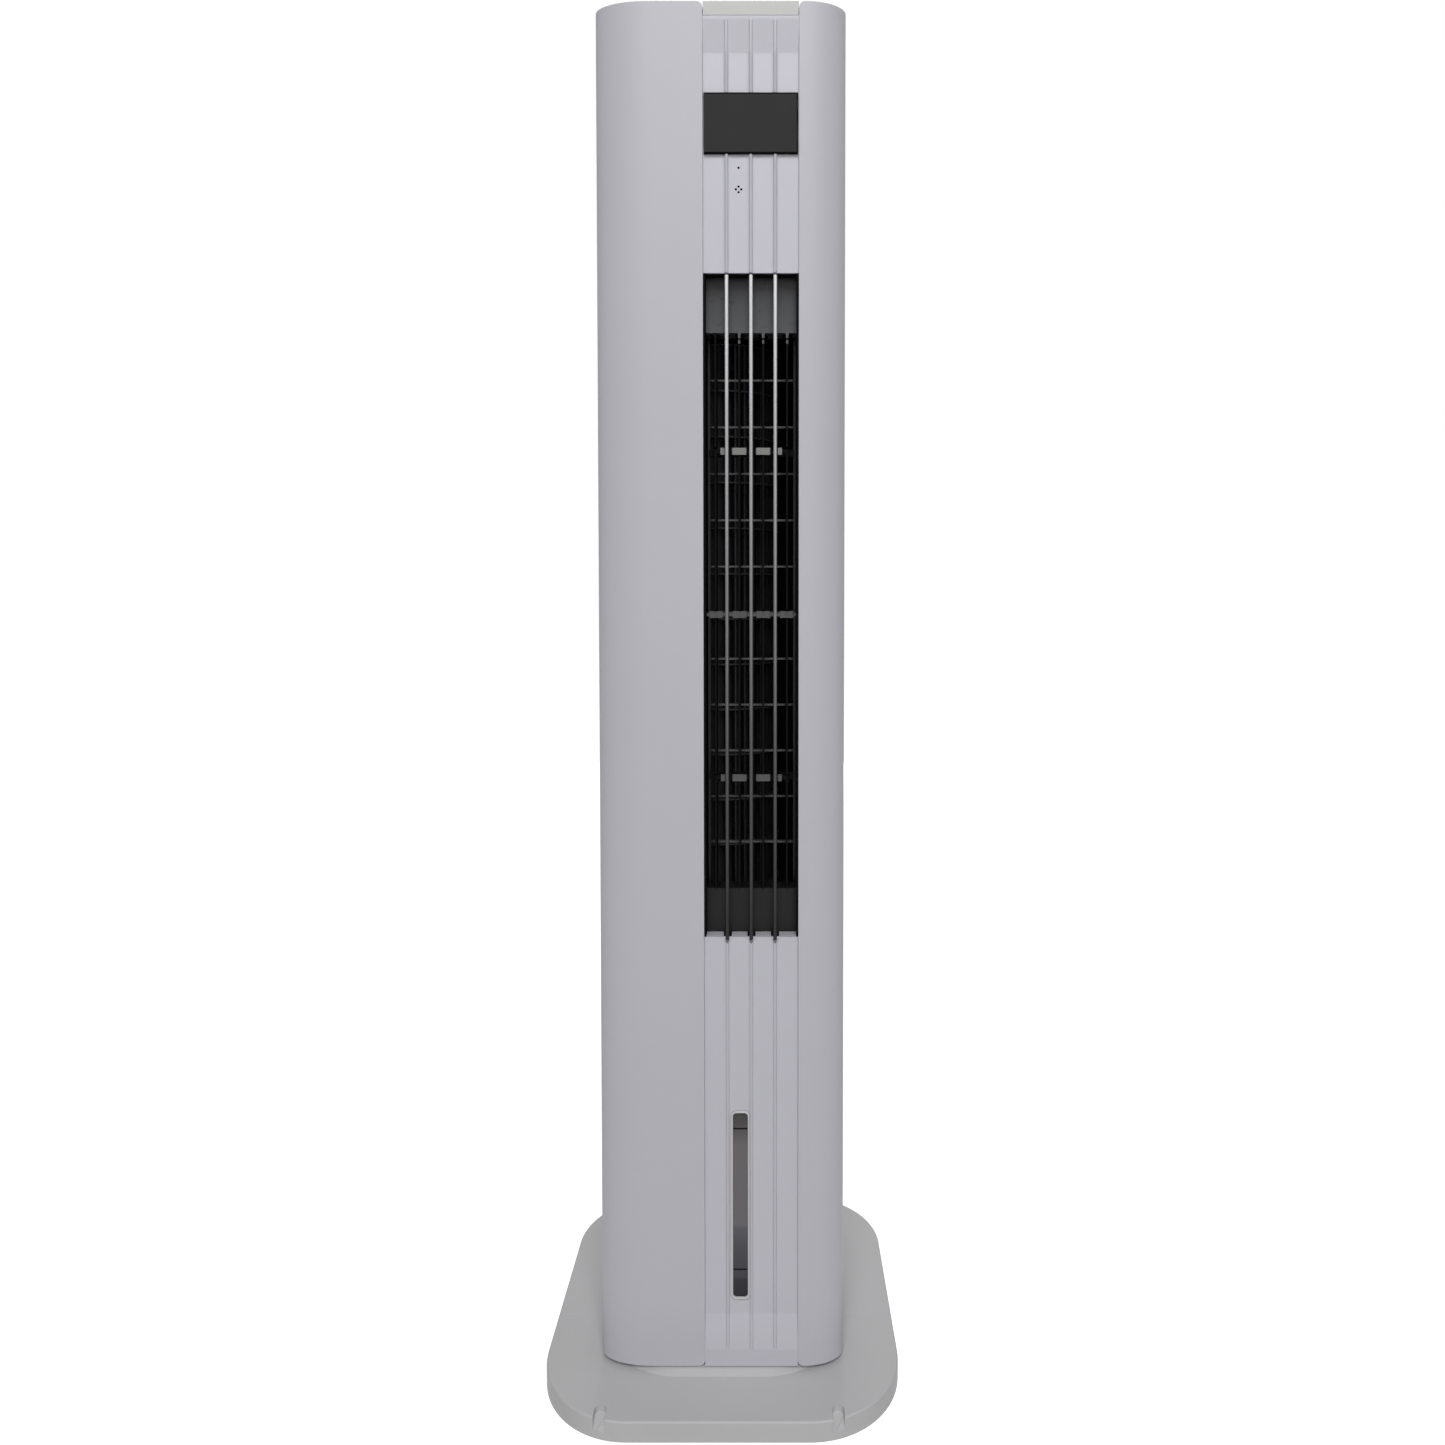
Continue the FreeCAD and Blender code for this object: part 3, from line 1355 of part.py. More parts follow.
def scroll_curve(gap):
    """Spiral wall that opens from the back of the wheel round to the outlet."""
    mouth = Vector(value("vent_right"), value("duct_back"), 0)
    start = math.radians(value("scroll_start_angle"))
    end = math.atan2(mouth.y, mouth.x)
    near = value("wheel_radius + wheel_rim + scroll_gap")
    steps = 12
    points = []
    for step in range(steps + 1):
        part = step / steps
        angle = start + (end - start) * part
        radius = near + (mouth.Length - near) * part ** value("scroll_grow_power") + gap
        points.append(Vector(radius * math.cos(angle), radius * math.sin(angle), value("scroll_floor")))
    points[-1].y = mouth.y
    curve = Part.BSplineCurve()
    curve.interpolate(points)
    return curve


def make_scroll_volute():
    """The scroll's curved rear wall."""
    inner = scroll_curve(0)
    outer = scroll_curve(value("scroll_wall"))
    edges = [
        inner.toShape(),
        Part.LineSegment(inner.EndPoint, outer.EndPoint).toShape(),
        outer.toShape(),
        Part.LineSegment(outer.StartPoint, inner.StartPoint).toShape(),
    ]
    face = Part.Face(Part.Wire(Part.__sortEdges__(edges)))
    wall = face.extrude(Vector(0, 0, value("scroll_high - scroll_floor")))
    finish("scroll_volute", shaped("volute_wall", wall))


# ---------------------------------------------------------------- fan motor

def make_fan_motor():
    """Can, stator and rotor of the motor above the wheel."""
    middle = ("0", "0")
    can = rod("can_body", middle, "motor_radius", ("can_low", "can_high"))
    ends = rod("can_bosses", middle, "motor_boss", ("scroll_roof", "strap_z"))
    hollow_z = ("can_low + motor_wall", "can_high - motor_wall")
    hollow = rod("can_hollow", middle, "motor_radius - motor_wall", hollow_z)
    bore = rod("can_bore", middle, "shaft_radius + run_gap", ("scroll_roof - cut_over", "strap_z + cut_over"))
    finish("fan_motor_can", cut("can_solid", fuse("can_blank", can, ends), hollow, bore))
    low = "(can_low + can_high) / 2 - core_length / 2"
    core_z = (low, f"{low} + core_length")
    outer = rod("stator_outer", middle, "motor_radius - motor_wall", core_z)
    gap = rod("stator_bore", middle, "rotor_radius + air_gap", (f"{low} - cut_over", f"{core_z[1]} + cut_over"))
    finish("fan_motor_stator", cut("stator_solid", outer, gap))
    shaft = rod("rotor_shaft", middle, "shaft_radius", ("wheel_top - hub_height", "strap_z - fit_gap"))
    finish("fan_motor_rotor", fuse("rotor_solid", shaft, rod("rotor_core", middle, "rotor_radius", core_z)))


def make_motor_mount():
    """Rubber rings round the motor's end bosses and the strap that holds them down."""
    rings = []
    for name, low in (("lower", "scroll_roof"), ("upper", "can_high")):
        high = f"{low} + ring_thick"
        outer = rod(f"{name}_ring_outer", ("0", "0"), "ring_radius", (low, high))
        bore = rod(f"{name}_ring_bore", ("0", "0"), "motor_boss", (f"{low} - cut_over", f"{high} + cut_over"))
        rings.append(cut(f"{name}_ring", outer, bore))
    finish("motor_rings", group("motor_ring_set", rings))
    across = ("-strap_width / 2", "strap_width / 2")
    top = ("strap_z", "strap_z + strap_thick")
    parts = [block("strap_top", ("-strap_x - strap_thick", "strap_x + strap_thick"), across, top)]
    leg_z = ("scroll_roof", "strap_z")
    foot_z = ("scroll_roof", "scroll_roof + strap_thick")
    parts.append(block("strap_leg_left", ("-strap_x - strap_thick", "-strap_x"), across, leg_z))
    parts.append(block("strap_leg_right", ("strap_x", "strap_x + strap_thick"), across, leg_z))
    parts.append(block("strap_foot_left", ("-strap_x - strap_foot", "-strap_x"), across, foot_z))
    parts.append(block("strap_foot_right", ("strap_x", "strap_x + strap_foot"), across, foot_z))
    finish("motor_bracket", fuse("motor_bracket_solid", *parts))


# ---------------------------------------------------------------- display and electronics

def make_display():
    """Dark lens on the strip, and the board behind it with digits, receiver and room sensor."""
    reach = ("strip_left + display_side", "strip_right - display_side")
    height = ("display_bottom", "display_top")
    lens = rounded("lens_body", "XZ", reach, height, ("sunk - display_proud", "sunk"), ["display_round"] * 4)
    finish("display_lens", lens)
    board_x = ("strip_x - board_width / 2", "strip_x + board_width / 2")
    board = block("board_plate", board_x, ("board_y", "board_y + board_thick"), ("board_low", "board_top"))
    digit_x = ("strip_x - digit_width / 2", "strip_x + digit_width / 2")
    digits = block("digit_block", digit_x, ("sunk + fit_gap", "board_y"), ("digit_low", "digit_top"))
    half = "receiver_size / 2"
    eye_x = (f"sensor_x - {half}", f"sensor_x + {half}")
    eye = block("receiver_eye", eye_x, ("fascia_back + fit_gap", "board_y"), (f"receiver_z - {half}", f"receiver_z + {half}"))
    bead = rod("thermo_bead", ("sensor_x", "thermo_z"), "thermo_radius", ("fascia_back + fit_gap", "board_y"), "y")
    finish("display_board", fuse("display_board_solid", board, digits, eye, bead))


def make_control_box():
    """Tray with the power board, on four legs above the motor."""
    reach = ("-box_left", "box_right")
    depth = ("-box_front", "box_back")
    outer = block("box_outer", reach, depth, ("box_low", "box_high"))
    inner_x = ("-box_left + box_wall", "box_right - box_wall")
    inner_y = ("-box_front + box_wall", "box_back - box_wall")
    inner = block("box_inner", inner_x, inner_y, ("box_low + box_wall", "box_high + cut_over"))
    parts = [cut("box_tray", outer, inner)]
    for end, y in (("front", "-box_front + box_leg_in"), ("rear", "scroll_back - box_leg_in")):
        for side, x in (("left", "-scroll_left + box_leg_in"), ("right", "scroll_right - box_leg_in")):
            parts.append(rod(f"box_leg_{end}_{side}", (x, y), "box_leg", ("scroll_roof", "box_low")))
            stand = (f"box_low + box_wall", "box_low + card_lift")
            parts.append(rod(f"card_stand_{end}_{side}", (x, y), "box_leg", stand))
    finish("control_box", fuse("control_box_solid", *parts))
    card_z = ("box_low + card_lift", "box_low + card_lift + card_thick")
    card_x = ("-box_left + box_wall + card_gap", "box_right - box_wall - card_gap")
    card_y = ("-box_front + box_wall + card_gap", "box_back - box_wall - card_gap")
    card = [block("card_plate", card_x, card_y, card_z)]
    for number in range(3):
        left = f"-box_left + box_wall + 2 * card_gap + {number} * 2 * part_size"
        tall = f"{card_z[1]} + part_tall - {number} * card_gap"
        size_y = ("-part_size / 2", "part_size / 2")
        card.append(block(f"card_part_{number + 1}", (left, f"{left} + part_size"), size_y, (card_z[1], tall)))
    finish("control_board", fuse("control_board_solid", *card))


# ---------------------------------------------------------------- wet side

def bay_walls():
    """Side walls of the tank bay, which carry the drip deck."""
    edges = {
        "left": ("-bay_wall_x - bay_wall_thick", "-bay_wall_x"),
        "right": ("bay_wall_x", "bay_wall_x + bay_wall_thick"),
    }
    depth = ("bay_wall_front", "bay_wall_back")
    return [block(f"bay_wall_{side}", edges[side], depth, ("floor_top", "deck_z")) for side in SIDES]


def make_drip_deck():
    """Shelf over the tank bay on two walls, with the trough under the pad and its spout."""
    side = "in_half - fit_gap"
    depth = ("front + deck_front", "deck_back")
    radii = ["corner_left - wall", "corner_right - wall", "deck_back_corner", "deck_back_corner"]
    shelf = rounded("deck_shelf", "XY", (f"-({side})", side), depth, ("deck_z", "deck_top"), radii)
    outer = block("trough_outer", ("-trough_x", "trough_x"), ("trough_front", "deck_back"), ("deck_top", "trough_top"))
    inner_x = ("-trough_x + trough_wall", "trough_x - trough_wall")
    inner_y = ("trough_front + trough_wall", "deck_back - trough_wall")
    inner = block("trough_inner", inner_x, inner_y, ("deck_top", "trough_top + cut_over"))
    spout = rod("spout_body", ("spout_x", "spout_y"), "spout_radius", ("deck_z - spout_drop", "deck_z"))
    drill = ("deck_z - spout_drop - cut_over", "deck_top + cut_over")
    holes = [
        rod("spout_hole", ("spout_x", "spout_y"), "spout_bore", drill),
        rod("hose_hole", ("hose_x", "hose_y"), "hose_radius + hose_hole_gap", ("deck_z - cut_over", "deck_top + cut_over")),
    ]
    bosses = []
    for name, sign in SIDES.items():
        spot = (f"{sign}case_screw_x", "case_screw_low")
        bosses.append(rod(f"deck_boss_{name}", spot, "boss_radius", ("deck_back - trough_wall", "in_back"), "y"))
        span = ("deck_back - 2 * trough_wall", "in_back + cut_over")
        holes.append(rod(f"deck_pilot_{name}", spot, "screw_radius + run_gap", span, "y"))
    body = fuse("deck_body", shelf, cut("trough", outer, inner), spout, *bay_walls(), *bosses)
    finish("drip_deck", cut("drip_deck_solid", body, *holes))


def make_cooling_pad():
    """The wet pad and the frame that holds it."""
    pad = block("pad_block", ("-pad_half", "pad_half"), ("pad_front", "pad_back"), ("pad_low", "pad_high"))
    finish("cooling_pad", pad)
    outer = block("pad_frame_outer", ("-frame_half", "frame_half"), ("frame_front", "frame_back"), ("trough_top", "frame_top"))
    pocket = block("pad_pocket", ("-pad_half", "pad_half"), ("pad_front", "pad_back"), ("pad_low", "pad_high"))
    lip = "(pad_half - pad_frame_side)"
    through = ("frame_front - cut_over", "frame_back + cut_over")
    face_z = ("pad_low + pad_frame_side", "pad_high - pad_frame_side")
    face = block("pad_face", (f"-{lip}", lip), through, face_z)
    feed_y = ("pad_front + pad_frame_rail", "pad_back - pad_frame_rail")
    feed = block("pad_feed", (f"-{lip}", lip), feed_y, ("trough_top - cut_over", "frame_top + cut_over"))
    finish("pad_frame", cut("pad_frame_solid", outer, pocket, face, feed))


def make_water_tray():
    """Drip tray over the pad, with a bridge that holds the hose's end."""
    outer = block("tray_outer", ("-frame_half", "frame_half"), ("frame_front", "frame_back"), ("frame_top", "tray_top"))
    inner_x = ("-frame_half + tray_wall", "frame_half - tray_wall")
    inner_y = ("frame_front + tray_wall", "frame_back - tray_wall")
    holes = [block("tray_inner", inner_x, inner_y, ("frame_top + tray_wall", "tray_top + cut_over"))]
    middle_y = "(pad_front + pad_back) / 2"
    for number in range(value_count("tray_hole_count")):
        x = f"({number} - (tray_hole_count - 1) / 2) * tray_hole_pitch"
        drill = ("frame_top - cut_over", "frame_top + tray_wall + cut_over")
        holes.append(rod(f"tray_hole_{number + 1}", (x, middle_y), "tray_hole", drill))
    bridge_x = ("hose_x - tray_bridge", "hose_x + tray_bridge")
    bridge = block("hose_bridge", bridge_x, ("frame_front", "frame_back"), ("tray_top - tray_wall", "tray_top"))
    seat = rod("hose_seat", ("hose_x", middle_y), "hose_radius", ("tray_top - 2 * tray_wall", "tray_top + cut_over"))
    finish("water_tray", cut("water_tray_solid", fuse("tray_body", cut("tray_open", outer, *holes), bridge), seat))


def make_water_hose():
    """Hose from the coupling socket up beside the scroll and back to the tray."""
    x = value("hose_x")
    y = value("hose_y")
    top = value("hose_top")
    back = value("(pad_front + pad_back) / 2")
    level = value("nipple_z")
    points = [
        Vector(x, value("socket_front"), level),
        Vector(x, y, level),
        Vector(x, y, top),
        Vector(x, back, top),
        Vector(x, back, value("hose_end")),
    ]
    tube = bent_tube("hose_tube", points, value("hose_bend"), value("hose_radius"), value("hose_bore"))
    finish("water_hose", tube)


def make_hose_socket():
    """Fixed half of the coupling, hung from the deck."""
    reach = ("hose_x - socket_half", "hose_x + socket_half")
    mouth = "nipple_y + nipple_in - nipple_in / 2"
    depth = ("socket_front", mouth)
    body = block("socket_block", reach, depth, ("nipple_z - socket_half", "deck_z"))
    spot = ("hose_x", "nipple_z")
    bore = rod("socket_bore", spot, "riser_radius + fit_gap", ("nipple_y - fit_gap", f"{mouth} + cut_over"), "y")
    way = rod("socket_way", spot, "hose_bore", ("socket_front - cut_over", "nipple_y"), "y")
    finish("hose_socket", cut("hose_socket_solid", body, bore, way))


# ---------------------------------------------------------------- tank

def tank_column(name, inset, low, high):
    """A column with the tank's plan, taken in by an inset."""
    half = f"tank_half - ({inset})"
    depth = (f"tank_front + ({inset})", f"in_back - ({inset})")
    corners = [f"tank_front_corner - ({inset})"] * 2 + [f"tank_back_corner - ({inset})"] * 2
    return rounded(name, "XY", (f"-({half})", half), depth, (low, high), corners)


def make_tank():
    """Open tank, its lid and the face with the pull."""
    outer = tank_column("tank_outer", "0", "tank_low", "tank_top")
    inner = tank_column("tank_inner", "tank_wall", "tank_floor", "tank_top + cut_over")
    finish("tank_body", cut("tank_body_solid", outer, inner))
    lid = tank_column("lid_plate", "0", "tank_top", "tank_top + lid_thick")
    drill = ("tank_top - cut_over", "tank_top + lid_thick + cut_over")
    holes = [
        block("lid_hole", ("lid_hole_left", "lid_hole_right"), ("lid_hole_front", "lid_hole_back"), drill),
        rod("riser_hole", ("riser_x", "pump_y"), "riser_radius", drill),
    ]
    post_low = "float_low - post_foot_thick - fit_gap"
    post = rod("float_post", ("float_x", "float_y"), "post_radius", (post_low, "tank_top"))
    foot = rod("float_foot", ("float_x", "float_y"), "post_foot", (post_low, f"{post_low} + post_foot_thick"))
    finish("tank_lid", cut("tank_lid_solid", fuse("tank_lid_body", lid, post, foot), *holes))
    make_tank_face()


def make_tank_face():
    """Rear door of the tank drawer with its finger pull and the latch's bore."""
    plate = block("door_plate", ("-door_half", "door_half"), ("in_back", "back"), ("door_low", "tank_door_top - slide_gap"))
    half = "pull_width / 2"
    outer_x = (f"-{half} - pull_wall", f"{half} + pull_wall")
    outer_z = ("pull_low - pull_wall", "pull_high + pull_wall")
    cup = block("pull_outer", outer_x, ("back - pull_depth - pull_wall", "in_back"), outer_z)
    hollow = block("pull_inner", (f"-{half}", half), ("back - pull_depth", "back + cut_over"), ("pull_low", "pull_high"))
    spot = ("latch_x", "latch_z")
    bore = rod("latch_bore", spot, "latch_spindle + run_gap", ("in_back - cut_over", "back + cut_over"), "y")
    finish("tank_face", cut("tank_face_solid", fuse("tank_face_body", plate, cup), hollow, bore))


def make_tank_latch():
    """Turn knob with an arm that catches behind the rear frame."""
    spot = ("latch_x", "latch_z")
    knob_y = ("back + fit_gap", "back + latch_knob_thick")
    knob = rod("knob_disc", spot, "latch_knob", knob_y, "y")
    grip_x = ("latch_x - latch_knob * 0.9", "latch_x + latch_knob * 0.9")
    grip_z = ("latch_z - latch_knob_bar / 2", "latch_z + latch_knob_bar / 2")
    grip = block("knob_grip", grip_x, (knob_y[1], f"{knob_y[1]} + latch_knob_rise"), grip_z)
    arm_back = "in_back - latch_arm_set"
    arm_y = (f"{arm_back} - latch_arm_thick", arm_back)
    spindle = rod("latch_rod", spot, "latch_spindle", (arm_y[0], knob_y[1]), "y")
    arm_x = ("latch_x - latch_arm", "latch_x")
    arm_z = ("latch_z - latch_arm_width / 2", "latch_z + latch_arm_width / 2")
    arm = block("latch_arm_bar", arm_x, arm_y, arm_z)
    hub = rod("latch_hub", spot, "latch_arm_width / 2", arm_y, "y")
    finish("tank_latch", fuse("tank_latch_solid", knob, grip, spindle, arm, hub))


def make_level_float():
    """Ring float on the post under the lid."""
    spot = ("float_x", "float_y")
    span = ("float_low", "float_low + float_height")
    ring = rod("float_ring", spot, "float_radius", span)
    bore = rod("float_bore", spot, "post_radius + float_gap", ("float_low - cut_over", f"{span[1]} + cut_over"))
    finish("level_float", cut("level_float_solid", ring, bore))


def make_pump():
    """Sealed pump on the tank's floor: body, strainer foot and rotor."""
    spot = ("pump_x", "pump_y")
    body = rod("pump_can", spot, "pump_radius", ("pump_low", "pump_top"))
    chamber_z = ("pump_low - cut_over", "pump_mid")
    chamber = rod("pump_room", spot, "chamber_radius", chamber_z)
    bore = rod("pump_bearing", spot, "pump_spindle + run_gap", ("pump_low", "pump_mid + pump_spindle_reach + run_gap"))
    outlet = rod("pump_outlet", ("riser_x", "pump_y"), "riser_bore", ("pump_mid - pump_blade_tall", "pump_top + cut_over"))
    finish("pump_body", cut("pump_body_solid", body, chamber, bore, outlet))
    foot = rod("strainer_disc", spot, "pump_radius", ("tank_floor", "pump_low"))
    drill = ("tank_floor - cut_over", "pump_low + cut_over")
    slots = [rod("strainer_hole", spot, "pump_inlet", drill)]
    reach = ("pump_x - pump_radius - cut_over", "pump_x + pump_radius + cut_over")
    across = ("pump_y - pump_slot / 2", "pump_y + pump_slot / 2")
    under = ("tank_floor - cut_over", "tank_floor + pump_foot / 2")
    slots.append(block("strainer_slot_x", reach, across, under))
    reach = ("pump_y - pump_radius - cut_over", "pump_y + pump_radius + cut_over")
    slots.append(block("strainer_slot_y", ("pump_x - pump_slot / 2", "pump_x + pump_slot / 2"), reach, under))
    finish("pump_strainer", cut("pump_strainer_solid", foot, *slots))
    low = "pump_low + run_gap + pump_slot / 2"
    high = f"{low} + pump_blade_tall"
    parts = [
        rod("rotor_hub", spot, "pump_hub", (low, high)),
        rod("rotor_spindle", spot, "pump_spindle", (high, "pump_mid + pump_spindle_reach")),
    ]
    thick = "pump_blade_thick / 2"
    long_x = ("pump_x - pump_blade", "pump_x + pump_blade")
    long_y = ("pump_y - pump_blade", "pump_y + pump_blade")
    parts.append(block("rotor_blade_x", long_x, (f"pump_y - {thick}", f"pump_y + {thick}"), (low, high)))
    parts.append(block("rotor_blade_y", (f"pump_x - {thick}", f"pump_x + {thick}"), long_y, (low, high)))
    finish("pump_rotor", fuse("pump_rotor_solid", *parts))


def make_riser_pipe():
    """Pipe from the pump through the lid to the coupling's nipple."""
    x = value("riser_x")
    y = value("pump_y")
    level = value("nipple_z")
    points = [
        Vector(x, y, value("pump_top")),
        Vector(x, y, level),
        Vector(x, value("nipple_y"), level),
    ]
    pipe = bent_tube("riser_tube", points, value("riser_bend"), value("riser_radius"), value("riser_bore"))
    finish("riser_pipe", pipe)


# ---------------------------------------------------------------- build, check and write

def build():
    """Make every piece."""
    make_base_cover()
    make_base_plate()
    make_bottom_chassis()
    skin = make_shell()
    for side in SIDES:
        make_side_panel(side, skin)
    make_center_fascia()
    make_window_lens()
    make_top_cover()
    make_rear_frame(skin)
    make_case_screws()
    make_cord_gland()
    make_rear_grille()
    make_dust_filter()
    make_outlet_bars()
    make_outlet_duct()
    make_duct_covers()
    for number in range(1, 5):
        make_louver(number)
    make_link_bar("link_bar_lower", "link_low")
    make_link_bar("link_bar_upper", "link_high")
    make_louver_comb()
    make_safety_grille()
    make_swing_motor()
    make_impeller()
    make_lower_bearing()
    make_scroll_plates()
    make_scroll_volute()
    make_fan_motor()
    make_motor_mount()
    make_display()
    make_control_box()
    make_drip_deck()
    make_cooling_pad()
    make_water_tray()
    make_water_hose()
    make_hose_socket()
    make_tank()
    make_tank_latch()
    make_level_float()
    make_pump()
    make_riser_pipe()


def check():
    """Stop if any object failed or any piece is empty or broken."""
    for item in doc.Objects:
        if "Invalid" in item.State or "Error" in item.State:
            raise RuntimeError(f"{item.Name} failed: {item.State}")
    for label, piece in pieces.items():
        shape = piece.Shape
        if shape.isNull() or not shape.isValid() or not shape.Solids:
            raise RuntimeError(f"{label} has no valid solid")
        print(f"{label}: {len(shape.Solids)} solid, {shape.Volume / 1000:.1f} cm3")


def write():
    """Write each piece to its own file."""
    os.makedirs("parts", exist_ok=True)
    for label, piece in pieces.items():
        piece.Shape.exportStep(f"parts/{label}.step")


build()
doc.recompute()
check()
write()
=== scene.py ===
import json
import math

import bpy
from bpy.props import FloatProperty, FloatVectorProperty, IntProperty, PointerProperty
from bpy.types import Operator, Panel, PropertyGroup
from mathutils import Matrix, Vector


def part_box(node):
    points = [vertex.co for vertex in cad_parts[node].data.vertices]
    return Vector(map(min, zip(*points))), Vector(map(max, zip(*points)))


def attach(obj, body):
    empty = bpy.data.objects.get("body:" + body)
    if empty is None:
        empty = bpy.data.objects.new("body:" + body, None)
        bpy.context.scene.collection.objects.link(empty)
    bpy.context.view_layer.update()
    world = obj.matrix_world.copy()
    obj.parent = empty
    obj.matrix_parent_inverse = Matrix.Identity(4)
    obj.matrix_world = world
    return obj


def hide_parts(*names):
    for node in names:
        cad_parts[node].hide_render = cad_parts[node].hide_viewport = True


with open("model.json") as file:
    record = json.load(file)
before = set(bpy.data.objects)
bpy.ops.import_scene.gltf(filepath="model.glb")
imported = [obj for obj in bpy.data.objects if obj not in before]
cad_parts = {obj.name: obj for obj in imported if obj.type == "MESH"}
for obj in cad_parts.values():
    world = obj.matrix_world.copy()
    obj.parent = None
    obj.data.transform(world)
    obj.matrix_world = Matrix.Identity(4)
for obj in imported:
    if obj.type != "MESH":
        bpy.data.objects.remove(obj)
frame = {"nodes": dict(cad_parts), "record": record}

bl_info = {
    "name": "Tower Fan Looks",
    "version": (1, 0, 0),
    "blender": (4, 5, 0),
    "location": "3D View > Sidebar > Tower Fan",
    "description": "Builds the visible pieces and finishes of an upright tower fan round its CAD frame",
    "category": "Object",
}

MM = 0.001
MERGE = 0.002 * MM          # points that are closer than this are one
SAME = 0.02 * MM            # lengths that are closer than this are the same, but for rounding
HAIR = 0.01 * MM            # between two neighbours that look as if they touch
CLEAR = 0.05 * MM           # keeps the faces of two joined or cut solids apart
SEAM = 0.3 * MM             # an open seam between two mouldings
FACING = 0.9                # a face looks along an axis when its normal has this share of it
FLAT = math.radians(0.2)    # faces that differ less than this make one flat face
X = Vector((1, 0, 0))
Y = Vector((0, 1, 0))
Z = Vector((0, 0, 1))
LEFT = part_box("left_side_panel")
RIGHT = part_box("right_side_panel")
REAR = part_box("rear_frame")
TOP = LEFT[1].z
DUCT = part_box("outlet_duct")
DUCT_WALL = Vector((2.5 * MM, 0, 2.5 * MM))
VENT = (DUCT[0] + DUCT_WALL, DUCT[1] - DUCT_WALL)
SIDES = ("left", "center", "right")
SLOTS = {part["node"]: part["material_slot"] for part in frame["record"]["subparts"]}
BODIES = {node: body for body, nodes in frame["record"]["behaviour"]["bodies"].items() for node in nodes}


# ---------------------------------------------------------------- colours and nodes

def colour(code):
    """An sRGB hex colour as the linear colour that the shaders take."""
    parts = [int(code[i:i + 2], 16) / 255 for i in (0, 2, 4)]
    return (*(c / 12.92 if c <= 0.04045 else ((c + 0.055) / 1.055) ** 2.4 for c in parts), 1.0)


def shade(tone, factor):
    """A lighter or darker version of a linear colour."""
    return tuple(min(c * factor, 1.0) for c in tone[:3]) + (1.0,)


def add(tree, kind, settings=(), links=()):
    """Add a node to a tree, with its settings and the sockets that feed it."""
    node = tree.nodes.new(kind)
    for key, value in dict(settings).items():
        if isinstance(key, str) and hasattr(node, key):
            setattr(node, key, value)
        else:
            node.inputs[key].default_value = value
    for key, source in dict(links).items():
        tree.links.new(source, node.inputs[key])
    return node


def bare_tree(owner):
    """The emptied node tree of a material or a world."""
    owner.use_nodes = True
    owner.node_tree.nodes.clear()
    return owner.node_tree


def start_material(name, **sockets):
    """A new material with only a surface shader with its plain values, and its Object coordinates."""
    material = bpy.data.materials.new(name)
    tree = bare_tree(material)
    shader = add(tree, "ShaderNodeBsdfPrincipled", {key.replace("_", " "): value for key, value in sockets.items()})
    add(tree, "ShaderNodeOutputMaterial", links={"Surface": shader.outputs[0]})
    return material, shader, add(tree, "ShaderNodeTexCoord").outputs["Object"]


def feed(shader, socket, source):
    """Link a pattern or colour into one of the shader's sockets."""
    shader.id_data.links.new(source, shader.inputs[socket])


GRAIN, CELLS, BANDS = "ShaderNodeTexNoise", "ShaderNodeTexVoronoi", "ShaderNodeTexWave"


def pattern(place, kind, size, output=0, **settings):
    """A texture of a kind whose features are about this size in millimetres."""
    settings["Scale"] = 1 / (size * MM)
    return add(place.id_data, kind, settings, {"Vector": place}).outputs[output]


def spread(source, low, high, start=0.3, end=0.7):
    """A pattern's values spread between two numbers."""
    settings = {"From Min": start, "From Max": end, "To Min": low, "To Max": high}
    return add(source.id_data, "ShaderNodeMapRange", settings, {"Value": source}).outputs["Result"]


def spangle(place):
    """Patches about 6 mm across, each with its own grey."""
    return add(place.id_data, "ShaderNodeRGBToBW", links={"Color": pattern(place, CELLS, 6, "Color")}).outputs[0]


def tracks(place):
    """Lines about 1.5 mm wide between patches of about 6 mm."""
    return spread(pattern(place, CELLS, 6, feature="DISTANCE_TO_EDGE"), 1, 0, 0.08, 0.14)


BAND_PITCH = 0.314          # a band texture's pitch at a scale of 1


def weave(place):
    """Crossing threads that are 2 mm apart."""
    threads = {number: pattern(place, BANDS, 2 / BAND_PITCH, "Fac", wave_type="BANDS", bands_direction=axis)
               for number, axis in enumerate("XZ")}
    return add(place.id_data, "ShaderNodeMath", {"operation": "MAXIMUM"}, threads).outputs[0]


def tinted(shader, source, dark, light):
    """The shader's colour runs between two linear colours along a pattern."""
    mix = add(source.id_data, "ShaderNodeMix", {"data_type": "RGBA", 6: dark, 7: light}, {0: source})
    feed(shader, "Base Color", mix.outputs[2])


def roughened(shader, source, low, high, *reach):
    """The shader's roughness runs between two values along a pattern."""
    feed(shader, "Roughness", spread(source, low, high, *reach))


def raised(shader, source, height):
    """Relief of a height in millimetres from a pattern."""
    settings = {"Strength": 1.0, "Distance": height * MM}
    feed(shader, "Normal", add(source.id_data, "ShaderNodeBump", settings, {"Height": source}).outputs["Normal"])


def graded(place, stops, axis="Z"):
    """Colours that follow the height or another axis: stops are pairs of mm and hex colour."""
    low, high = stops[0][0], stops[-1][0]
    axes = add(place.id_data, "ShaderNodeSeparateXYZ", links={"Vector": place})
    reach = spread(axes.outputs[axis], 0, 1, low * MM, high * MM)
    ramp = add(place.id_data, "ShaderNodeValToRGB", links={"Fac": reach})
    points = ramp.color_ramp.elements
    while len(points) < len(stops):
        points.new(1.0)
    for point, (spot, code) in zip(points, stops):
        point.position = (spot - low) / (high - low)
        point.color = colour(code)
    return ramp.outputs["Color"]


# ---------------------------------------------------------------- finishes

